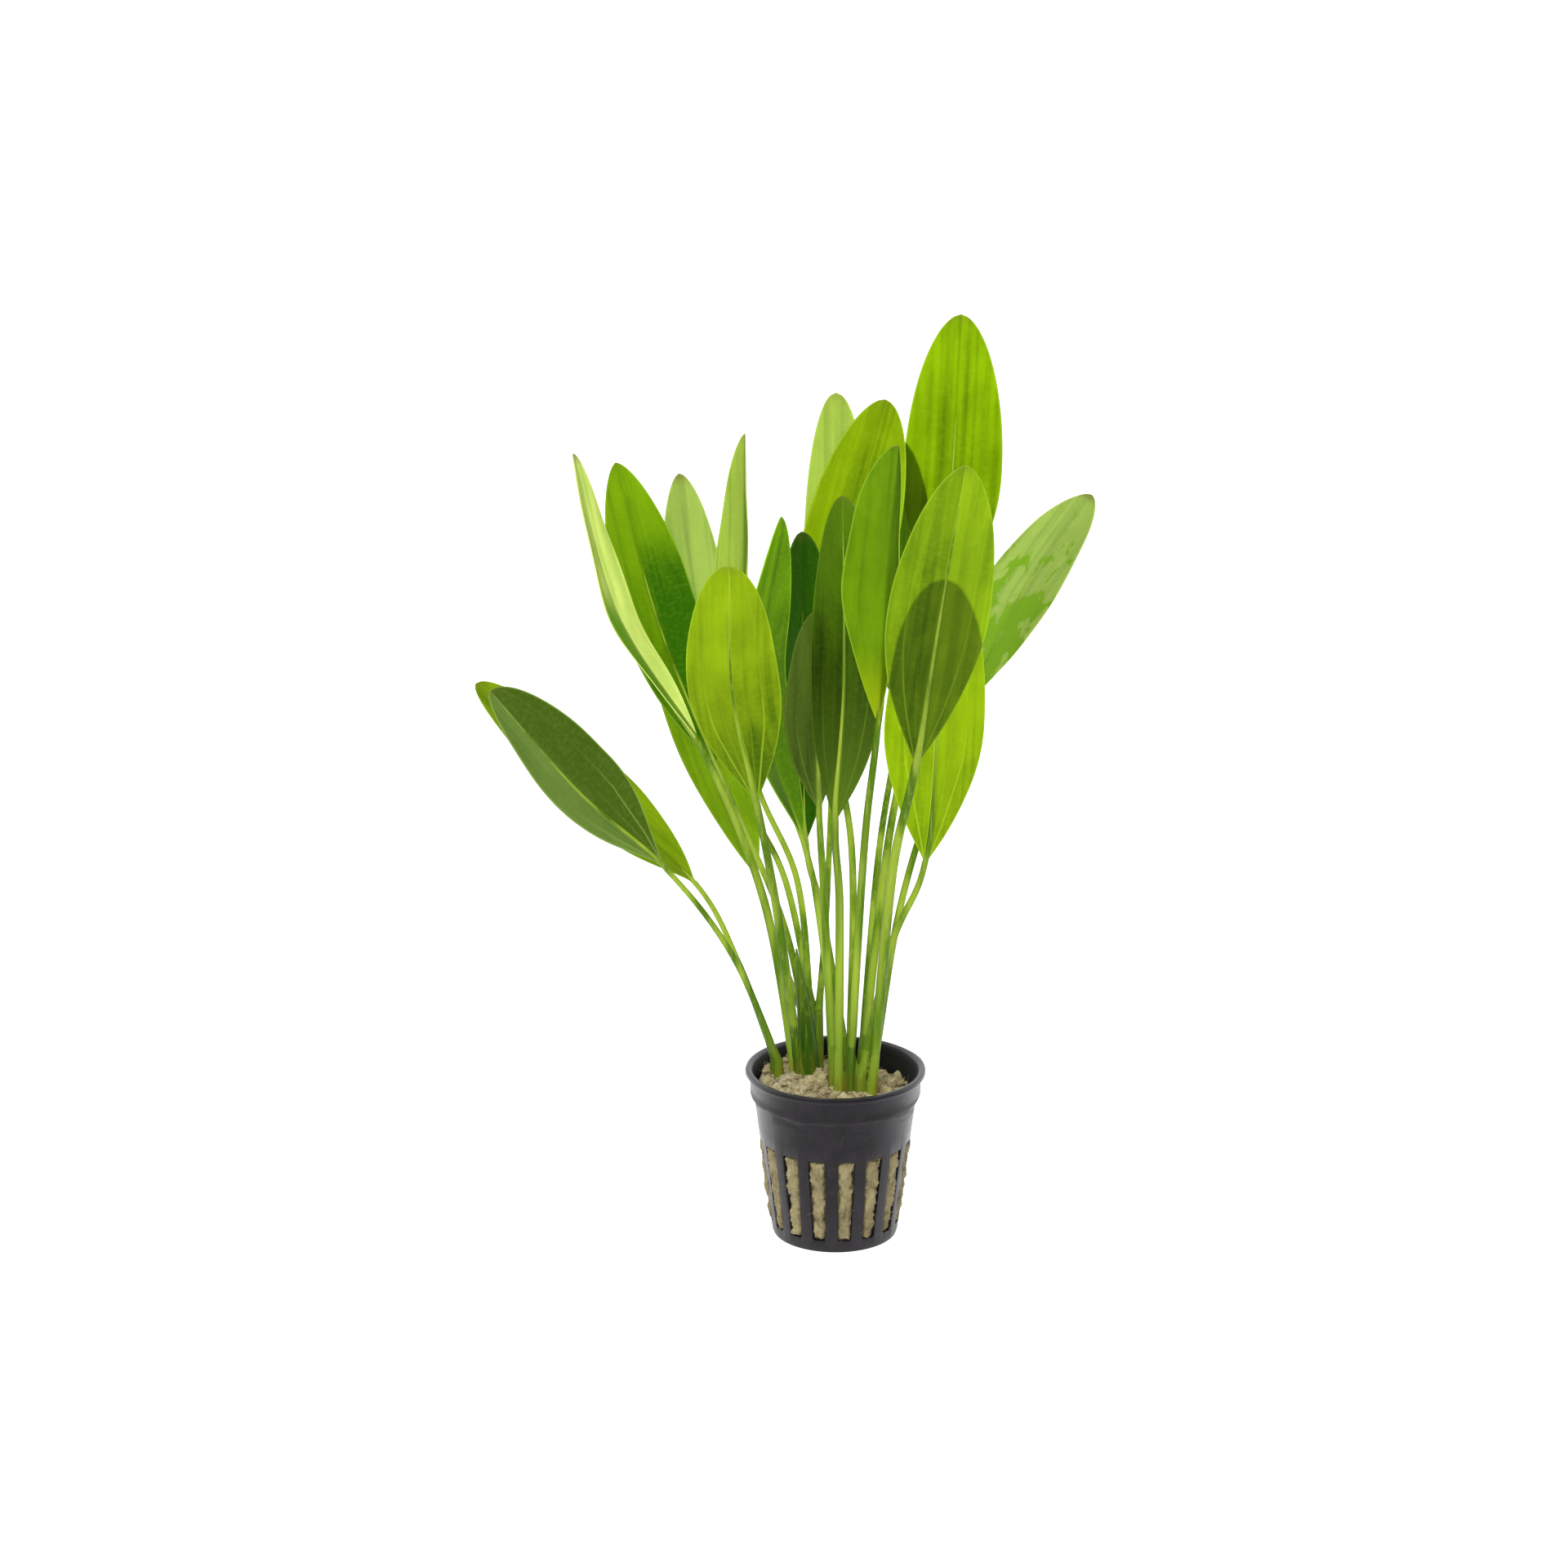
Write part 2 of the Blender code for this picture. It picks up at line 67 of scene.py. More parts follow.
def turned(name, sides, outline):
    """A round solid: a disc, pulled up and widened from ring to ring of its outline."""
    radius, height = outline[0]
    bpy.ops.mesh.primitive_circle_add(
        vertices=sides, radius=radius * MM, fill_type="NGON",
        location=(0, 0, height * MM), rotation=(0, 0, SLOT_TURN))
    piece = bpy.context.object
    piece.name = name
    bpy.ops.object.transform_apply(location=True, rotation=True, scale=True)
    bpy.ops.object.mode_set(mode="EDIT")
    bpy.ops.mesh.select_all(action="SELECT")
    for (radius, height), (next_radius, next_height) in zip(outline, outline[1:]):
        rise = (next_height - height) * MM
        bpy.ops.mesh.extrude_region_move(TRANSFORM_OT_translate={"value": (0, 0, rise)})
        grow = next_radius / radius
        bpy.ops.transform.resize(value=(grow, grow, 1), center_override=(0, 0, 0))
    bpy.ops.mesh.select_all(action="SELECT")
    bpy.ops.mesh.normals_make_consistent(inside=False)
    bpy.ops.object.mode_set(mode="OBJECT")
    return piece


def select_points(piece, chosen):
    """In edit mode afterwards, with only the points that pass the test selected."""
    bpy.ops.object.mode_set(mode="EDIT")
    bpy.ops.mesh.select_mode(type="VERT")
    bpy.ops.mesh.select_all(action="DESELECT")
    bpy.ops.object.mode_set(mode="OBJECT")
    for point in piece.data.vertices:
        point.select = chosen(point.co)
    bpy.ops.object.mode_set(mode="EDIT")


def only(piece):
    """The piece alone is selected and active."""
    bpy.ops.object.select_all(action="DESELECT")
    piece.select_set(True)
    bpy.context.view_layer.objects.active = piece


def applied(piece, kind, **settings):
    """Adds a modifier to the piece and applies it."""
    only(piece)
    modifier = piece.modifiers.new(kind.title(), kind)
    for key, value in settings.items():
        setattr(modifier, key, value)
    bpy.ops.object.modifier_apply(modifier=modifier.name)


def slot_cutter(middle, size, head_share, corner, run):
    """A block to cut a slot with, wider at its head. Its edges along the axis run are rounded."""
    bpy.ops.mesh.primitive_cube_add(size=1, location=[value * MM for value in middle])
    block = bpy.context.object
    block.scale = [value * MM for value in size]
    bpy.ops.object.transform_apply(location=True, rotation=True, scale=True)
    select_points(block, lambda co: co.z > middle[2] * MM)
    bpy.ops.transform.resize(value=(head_share, 1, 1), center_override=(0, 0, 0))
    bpy.ops.mesh.select_all(action="DESELECT")
    bpy.ops.object.mode_set(mode="OBJECT")
    # They may lean a little the other ways, where the slot is wider at its head.
    leaning = 0.4
    for edge in block.data.edges:
        a, b = (block.data.vertices[i].co for i in edge.vertices)
        edge.select = all(abs((a - b)[k]) < leaning * size[k] * MM for k in range(3) if k != run)
    bpy.ops.object.mode_set(mode="EDIT")
    bpy.ops.mesh.select_mode(type="EDGE")
    bpy.ops.mesh.bevel(offset=corner * MM, segments=4, affect="EDGES")
    bpy.ops.object.mode_set(mode="OBJECT")
    return block


def all_round(first, count):
    """Copies of a cutter, evenly round the pot's axis, as one object."""
    turns = []
    for i in range(count):
        only(first)
        bpy.ops.object.duplicate()
        copy = bpy.context.object
        copy.rotation_euler.z = SLOT_TURN + 2 * math.pi * i / count
        bpy.ops.object.transform_apply(location=False, rotation=True, scale=False)
        turns.append(copy)
    bpy.data.objects.remove(first, do_unlink=True)
    only(turns[0])
    for copy in turns:
        copy.select_set(True)
    bpy.ops.object.join()
    return bpy.context.object


def cut(piece, cutter):
    """Cuts the cutter's shape out of the piece and throws the cutter away."""
    applied(piece, "BOOLEAN", operation="DIFFERENCE", object=cutter, solver="EXACT")
    bpy.data.objects.remove(cutter, do_unlink=True)


net_pot = turned("net_pot", POT_SIDES, POT_OUTLINE)
Y_AXIS, Z_AXIS = 1, 2
wall_slot = slot_cutter(
    (0, -WALL_CUT, (SLOT_FOOT + SLOT_HEAD) / 2), (SLOT_FOOT_WIDTH, WALL_CUT_DEPTH, SLOT_HEAD - SLOT_FOOT),
    SLOT_HEAD_WIDTH / SLOT_FOOT_WIDTH, SLOT_CORNER, Y_AXIS)
cut(net_pot, all_round(wall_slot, SLOTS))
floor_slot = slot_cutter(
    (0, -FLOOR_SLOT_MIDDLE, FLOOR_CUT), (FLOOR_SLOT_WIDTH, FLOOR_SLOT_LENGTH, FLOOR_CUT_DEPTH),
    1, FLOOR_SLOT_CORNER, Z_AXIS)
cut(net_pot, all_round(floor_slot, FLOOR_SLOTS))
applied(net_pot, "BEVEL", width=EDGE_ROUNDING * MM, segments=2, limit_method="ANGLE",
        angle_limit=SHARP_EDGE, use_clamp_overlap=False)

# The soft wall has given a little under the grower's fingers, so that its reflections wander. It gives less
# near the stiff foot, and the step under the collar runs up and down a little.
WALL_START, STIFF_FOOT = 0.015, 0.012
GIVE, GIVES_IN_A_METRE = 0.22, 95
STEP_START, STEP_END, STEP_WAVER, WAVERS_IN_A_METRE = 41.5, 43.8, 0.9, 160
for point in net_pot.data.vertices:
    out = Vector((point.co.x, point.co.y, 0))
    if out.length > WALL_START:
        spot = Vector((point.co.x, point.co.y, point.co.z * 1.6))
        give = noise.noise(spot * GIVES_IN_A_METRE) * GIVE * MM
        point.co += out.normalized() * give * min(1, point.co.z / STIFF_FOOT)
        if STEP_START * MM < point.co.z < STEP_END * MM:
            spot = Vector((point.co.x, point.co.y, 0))
            point.co.z += noise.noise(spot * WAVERS_IN_A_METRE) * STEP_WAVER * MM
only(net_pot)
bpy.ops.object.shade_smooth_by_angle(angle=math.radians(38))


class Wire:
    """A node's output in a material's tree. Sums of wires and numbers add Math nodes to the tree."""

    def __init__(self, tree, socket=None):
        self.tree = tree
        self.socket = socket

    def node(self, kind, inputs=(), out=0, **settings):
        """Another node: its settings first, then the values or wires of its inputs."""
        made = self.tree.nodes.new("ShaderNode" + kind)
        for key, value in settings.items():
            setattr(made, key, value)
        for key, value in dict(inputs).items():
            if isinstance(value, Wire):
                self.tree.links.new(value.socket, made.inputs[key])
            elif isinstance(value, tuple) and len(value) == 3 and made.inputs[key].type == "RGBA":
                made.inputs[key].default_value = (*value, 1)
            else:
                made.inputs[key].default_value = value
        return Wire(self.tree, made.outputs[out])

    def math(self, operation, *values):
        return self.node("Math", enumerate(values), operation=operation)

    def __add__(self, other):
        return self.math("ADD", self, other)

    def __sub__(self, other):
        return self.math("SUBTRACT", self, other)

    def __rsub__(self, other):
        return self.math("SUBTRACT", other, self)

    def __mul__(self, other):
        return self.math("MULTIPLY", self, other)

    def __truediv__(self, other):
        return self.math("DIVIDE", self, other)

    def __pow__(self, other):
        return self.math("POWER", self, other)

    def __abs__(self):
        return self.math("ABSOLUTE", self)

    __radd__ = __add__
    __rmul__ = __mul__

    def most(self, other):
        return self.math("MAXIMUM", self, other)

    def least(self, other):
        return self.math("MINIMUM", self, other)

    def between(self, low, high):
        """0 below low, 1 above high and a smooth step from one to the other."""
        values = {"Value": self, "From Min": low, "From Max": high}
        return self.node("MapRange", values, interpolation_type="SMOOTHSTEP")

    def tint(self, first, second):
        """The first colour where the wire is 0, the second where it is 1."""
        values = {"Factor": self, "A": first, "B": second}
        return self.node("Mix", values, out="Result", data_type="RGBA")

    def cloud(self, scale, detail, roughness, distortion=0.0):
        """Cloudy noise from 0 to 1 at this place: scale is how many clouds there are to a unit."""
        values = {"Vector": self, "Scale": scale, "Detail": detail, "Roughness": roughness,
                  "Distortion": distortion}
        return self.node("TexNoise", values)

    def stretched(self, x, y, z):
        """This place, with each direction made this many times longer."""
        return self.node("Mapping", {"Vector": self, "Scale": (x, y, z)})

    def part(self, axis):
        """One of this place's three numbers: X, Y or Z."""
        return self.node("SeparateXYZ", {"Vector": self}, out=axis)


def new_finish(name, roughness, **constants):
    """A material: its name, its shader with the settings that are the same all over, and its tree."""
    material = bpy.data.materials.new(name)
    material.use_nodes = True
    shader = material.node_tree.nodes["Principled BSDF"]
    shader.inputs["Roughness"].default_value = roughness
    for key, value in constants.items():
        shader.inputs[key.replace("_", " ")].default_value = value
    return material, shader, Wire(material.node_tree)


def feed(node, key, wire):
    """Links a wire to one of the node's inputs."""
    wire.tree.links.new(wire.socket, node.inputs[key])


def feed_relief(shader, height, strength, depth):
    """Links a height to the shader's Normal as fine relief, so many metres deep."""
    bump = {"Height": height, "Strength": strength, "Distance": depth}
    feed(shader, "Normal", height.node("Bump", bump))


def settle(piece, slot, *nodes):
    """The piece stands for its CAD nodes and goes with the body. Its slot is not used."""
    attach(piece, "root")
    if nodes:
        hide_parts(*nodes)


CHARCOAL, CHARCOAL_WORN = (0.004, 0.003, 0.005), (0.018, 0.012, 0.021)
PAINTED_DARK_REFLECTION, INSIDE_SHADE, DUST = (0.001, 0.001, 0.0015), (0.0005, 0.0004, 0.0004), (0.16, 0.14, 0.10)
pot_plastic, shader, wire = new_finish("charcoal_polypropylene", 0.36, IOR=1.49, Specular_IOR_Level=0.5)
here = wire.node("TexCoord", out="Object")
blotch = here.cloud(130, 4, 0.6)
grain = here.cloud(4200, 2, 0.6)
rub = here.stretched(1, 1, 0.25).cloud(900, 3, 0.65)
height = here.part("Z")
dust = rub.between(0.56, 0.74) * (1 - height.between(0.010, 0.046) * 0.6)
body = blotch.between(0.3, 0.7).tint(CHARCOAL, CHARCOAL_WORN)
# A dark reflection, painted in streaks along the foot of the collar.
painted_reflection = here.stretched(1, 1, 3.5).cloud(75, 2, 0.5).between(0.52, 0.58)
painted_reflection = painted_reflection * height.between(0.0385, 0.0405) * (1 - height.between(0.0445, 0.0465))
body = (painted_reflection * 0.85).tint(body, PAINTED_DARK_REFLECTION)
# Under the lip the inner wall is painted nearly black, as the shade inside the pot.
x, y = here.part("X"), here.part("Y")
outwards = (x * x + y * y) ** 0.5 - height * (WALL_SPREAD / WALL_RISE) - WALL_FOOT * MM
inside = (1 - outwards.between(-0.00045, -0.00028)) * height.between(0.030, 0.034)
body = inside.tint(body, INSIDE_SHADE)
dust = dust * (1 - inside)
feed(shader, "Base Color", (dust * 0.22).tint(body, DUST))
feed(shader, "Roughness", 0.27 + blotch * 0.16 + dust * 0.2 + grain * 0.05 + painted_reflection * 0.15 + inside * 0.3)
feed_relief(shader, grain * 0.25 + blotch * 2.0 + rub * 0.3, 0.12, 0.0004)
net_pot.data.materials.append(pot_plastic)
settle(net_pot, "pot", "pot")


# Rock wool. Spun mineral wool is cut in strips and packed round the roots. It bulges into the slots, frays
# at their edges, and on top it is torn into lumps, crumbs and loose fibres, lower at the back right.
WOOL_TOP, WOOL_SAG = 49.2, 7.0
# How high the lumps, clods and crumbs of its top are, and how wide.
LUMP, LUMP_SIZE, CLOD, CLOD_SIZE, CRUMB, CRUMB_SIZE = 1.7, 4.6, 2.4, 2.6, 0.45, 1.0
WOOL_SEED = Vector((4.7, 2.3, 9.1))
WOOL_SIDES, WOOL_PITCH = 96, 0.5
# The layer that swells into the slots: how deep it is, how far up it goes and how wide its swellings are.
SWOLLEN_LAYER, SWOLLEN_END, SWELL_SIZE = 3.4, 42, 2.6
FUZZ, FUZZ_SIZE = 0.22, 0.7
# Where the torn top starts, and over how much height.
TORN_START, TORN_BLEND = 43, 5
WOOL_OUTLINE = [(17.0, 1.8), (17.3, 3.0), (20.4, 28.0), (21.3, 36.0), (22.6, 44.0), (22.7, 46.4),
                (21.6, 48.9), (16.0, 49.2)]


def wall_radius(height):
    """The outer radius of the pot's wall at a height, in millimetres."""
    return WALL_FOOT + WALL_SPREAD * height / WALL_RISE


def wool_level(x, y):
    """The height of the wool's top at a place, in millimetres."""
    slope = max(0.0, (1.3 * x + 1.2 * y - 4) / 40.6, (y - 6) / 34)
    lump = noise.noise(Vector((x, y, 0)) / LUMP_SIZE + WOOL_SEED)
    clod = abs(noise.noise(Vector((x, y, 3)) / CLOD_SIZE + WOOL_SEED)) - 0.2
    crumb = noise.noise(Vector((x, y, 7)) / CRUMB_SIZE + WOOL_SEED)
    # It is packed higher round the left crown.
    packed = 1.8 * math.exp(-((x + 9) ** 2 + (y + 3) ** 2) / 50)
    return WOOL_TOP - WOOL_SAG * slope + LUMP * lump + CLOD * clod + CRUMB * crumb + packed


def in_slot(angle, height, x, y):
    """1 in the middle of a slot and 0 behind the bars, with a torn edge."""
    pitch = 2 * math.pi / SLOTS
    off = (angle - SLOT_TURN + pitch / 2) % pitch - pitch / 2
    rise = min(1, max(0, (height - SLOT_FOOT) / (SLOT_HEAD - SLOT_FOOT)))
    half = (SLOT_FOOT_WIDTH + (SLOT_HEAD_WIDTH - SLOT_FOOT_WIDTH) * rise) / 2
    spot = Vector((x, y, height))
    torn = 0.85 * noise.noise(spot / 1.9) + 0.4 * noise.noise(spot / 0.7)
    edge = min(half - abs(off) * wall_radius(height), height - SLOT_FOOT, SLOT_HEAD - height)
    return min(1, max(0, (edge - 0.1 + torn) / 0.6))


rock_wool = turned("rock_wool_body", WOOL_SIDES, WOOL_OUTLINE)
applied(rock_wool, "REMESH", mode="VOXEL", voxel_size=WOOL_PITCH * MM)
for point in rock_wool.data.vertices:
    x, y, z = point.co / MM
    radius = math.hypot(x, y)
    angle = math.atan2(x, -y)
    if radius > wall_radius(z) - SWOLLEN_LAYER and z < SWOLLEN_END:
        swell = noise.noise(Vector((x, y, z * 0.6)) / SWELL_SIZE + WOOL_SEED)
        out = in_slot(angle, z, x, y) * (wall_radius(z) + swell - radius)
        fuzz = FUZZ * noise.noise(Vector((x, y, z)) / FUZZ_SIZE)
        point.co.x += (out + fuzz) * math.sin(angle) * MM
        point.co.y -= (out + fuzz) * math.cos(angle) * MM
    if z > TORN_START:
        share = min(1, (z - TORN_START) / TORN_BLEND)
        point.co.z += (wool_level(x, y) - WOOL_TOP) * share * MM
only(rock_wool)
bpy.ops.object.shade_smooth()

chance = random.Random(11)
TUFTS, TUFTS_REACH = 110, 20.2
tufts = []
# Where a torn tuft stands up: x, y, size, and how much taller than wide it is.
TALL_TUFTS = [(16.0, -7.0, 5.6, 1.5), (18.0, -2.5, 5.2, 1.4), (15.0, 2.0, 3.6, 1.3), (18.9, -9.5, 4.4, 0.9),
              (13.6, -13.2, 2.3, 1.0), (-14.5, -8.5, 2.2, 0.8), (-2.8, -17.5, 2.1, 0.9),
              (-8.0, -12.5, 2.6, 0.8), (1.5, 3.0, 2.6, 1.0), (-3.0, -5.5, 2.4, 0.9), (-1.5, 10.5, 2.6, 1.1)]
places = list(TALL_TUFTS)
while len(places) < TUFTS:
    away, turn = TUFTS_REACH * math.sqrt(chance.random()), chance.uniform(0, 2 * math.pi)
    places.append((away * math.cos(turn), away * math.sin(turn), chance.uniform(1.0, 3.6),
                   chance.uniform(0.45, 0.9)))
for number, (x, y, size, tall) in enumerate(places):
    level = wool_level(x, y) - 0.15 * size
    bpy.ops.mesh.primitive_ico_sphere_add(subdivisions=3, radius=size / 2 * MM,
                                          location=(x * MM, y * MM, level * MM))
    tuft = bpy.context.object
    for point in tuft.data.vertices:
        way = point.co.normalized()
        spot = way * 1.6 + Vector((number * 3.7, 0, 0))
        torn = 1 + 0.75 * noise.noise(spot) + 0.45 * noise.noise(spot * 2.7) + 0.2 * noise.noise(spot * 6)
        point.co = Vector((way.x, way.y, way.z * tall)) * (size / 2 * torn * MM)
    tufts.append(tuft)
only(tufts[0])
for tuft in tufts:
    tuft.select_set(True)
bpy.ops.object.join()
crumbs = bpy.context.object
crumbs.name = "rock_wool_crumbs"
bpy.ops.object.transform_apply(location=True, rotation=True, scale=True)
bpy.ops.object.shade_smooth()


TOP_FIBRES, TOP_FIBRES_REACH, SLOT_FIBRES, FIBRE_STEPS = 620, 21.4, 760, 7


def strand(curve, start, way, length, curl, thick):
    """One loose fibre: a thin open curve that bends as it goes."""
    spline = curve.splines.new("POLY")
    spline.points.add(FIBRE_STEPS)
    spot, way = Vector(start), Vector(way).normalized()
    axis = way.cross(Vector((chance.gauss(0, 1), chance.gauss(0, 1), chance.gauss(0, 1)))).normalized()
    for i, point in enumerate(spline.points):
        point.co = (*(spot * MM), 1)
        point.radius = thick * (1 - 0.75 * i / FIBRE_STEPS)
        bend = way.cross(axis).normalized()
        way = (way + bend * curl * (0.7 + 0.6 * chance.random())).normalized()
        spot = spot + way * (length / FIBRE_STEPS)


bpy.ops.curve.primitive_bezier_curve_add()
fibres = bpy.context.object
fibres.name = "rock_wool_fibres"
fibres.data.splines.clear()
fibres.data.bevel_depth = MM
fibres.data.bevel_resolution = 0
fibres.data.use_fill_caps = True
for _ in range(TOP_FIBRES):
    away, turn = TOP_FIBRES_REACH * math.sqrt(chance.random()), chance.uniform(0, 2 * math.pi)
    x, y = away * math.cos(turn), away * math.sin(turn)
    way = (chance.gauss(0, 1), chance.gauss(0, 1), abs(chance.gauss(0, 0.5)) + 0.15)
    strand(fibres.data, (x, y, wool_level(x, y) - 0.35), way, chance.uniform(1.5, 4.5),
           chance.uniform(-0.55, 0.55), chance.uniform(0.04, 0.09))
for _ in range(SLOT_FIBRES):
    slot = chance.randrange(SLOTS)
    z = chance.uniform(SLOT_FOOT + 0.5, SLOT_HEAD - 0.5)
    off = chance.uniform(-1.9, 1.9) / wall_radius(z)
    angle = SLOT_TURN + 2 * math.pi * slot / SLOTS + off
    out = Vector((math.sin(angle), -math.cos(angle), 0))
    side = Vector((math.cos(angle), math.sin(angle), 0))
    way = out * 0.5 + side * chance.gauss(0, 0.8) + Vector((0, 0, chance.gauss(0, 0.9)))
    start = out * (wall_radius(z) - 0.35) + Vector((0, 0, z))
    strand(fibres.data, start, way, chance.uniform(1.0, 3.2), chance.uniform(-0.6, 0.6),
           chance.uniform(0.035, 0.075))
only(fibres)
bpy.ops.object.convert(target="MESH")
fibres = bpy.context.object

OCHRE, STRAW = (0.20, 0.145, 0.055), (0.46, 0.385, 0.18)
FIBRE_PALE, STAINED = (0.74, 0.66, 0.42), (0.36, 0.29, 0.10)
CLOD_PALE, CREVICE_SHADE, FLECK = (0.70, 0.62, 0.41), (0.15, 0.10, 0.045), (0.14, 0.10, 0.045)
wool, shader, wire = new_finish("spun_mineral_wool", 0.95, Sheen_Weight=0.25, Specular_IOR_Level=0.2)
here = wire.node("TexCoord", out="Object")
strands_up = here.stretched(1, 1, 0.25).cloud(1500, 4, 0.7, 1.2)
strands_over = here.stretched(0.3, 1, 1).cloud(1700, 4, 0.7, 1.5)
clump = here.cloud(210, 4, 0.62, 0.6)
patch = here.cloud(90, 2, 0.5)
flecks = here.cloud(2600, 2, 0.5)
colour = clump.between(0.30, 0.62).tint(OCHRE, STRAW)
colour = (strands_up.between(0.42, 0.7) * 0.5).tint(colour, FIBRE_PALE)
colour = (patch.between(0.55, 0.75) * 0.35).tint(colour, STAINED)
# On top the torn clods are paler, and the crevices between them are painted dark brown as shade.
on_top = here.part("Z").between(0.040, 0.046)
clods = here.cloud(330, 4, 0.6, 0.8)
colour = (on_top * clods.between(0.50, 0.66) * 0.6).tint(colour, CLOD_PALE)
colour = (on_top * (1 - clods.between(0.38, 0.47)) * 0.6).tint(colour, CREVICE_SHADE)
colour = (flecks.between(0.68, 0.76) * 0.4).tint(colour, FLECK)
feed(shader, "Base Color", colour)
relief = strands_up * 0.5 + strands_over * 0.5 + clump * 1.2 + clods * on_top
feed_relief(shader, relief, 0.75, 0.0006)
for piece in (rock_wool, crumbs, fibres):
    piece.data.materials.append(wool)
settle(rock_wool, "rock_wool", "rock_wool")
settle(crumbs, "rock_wool")
settle(fibres, "rock_wool")


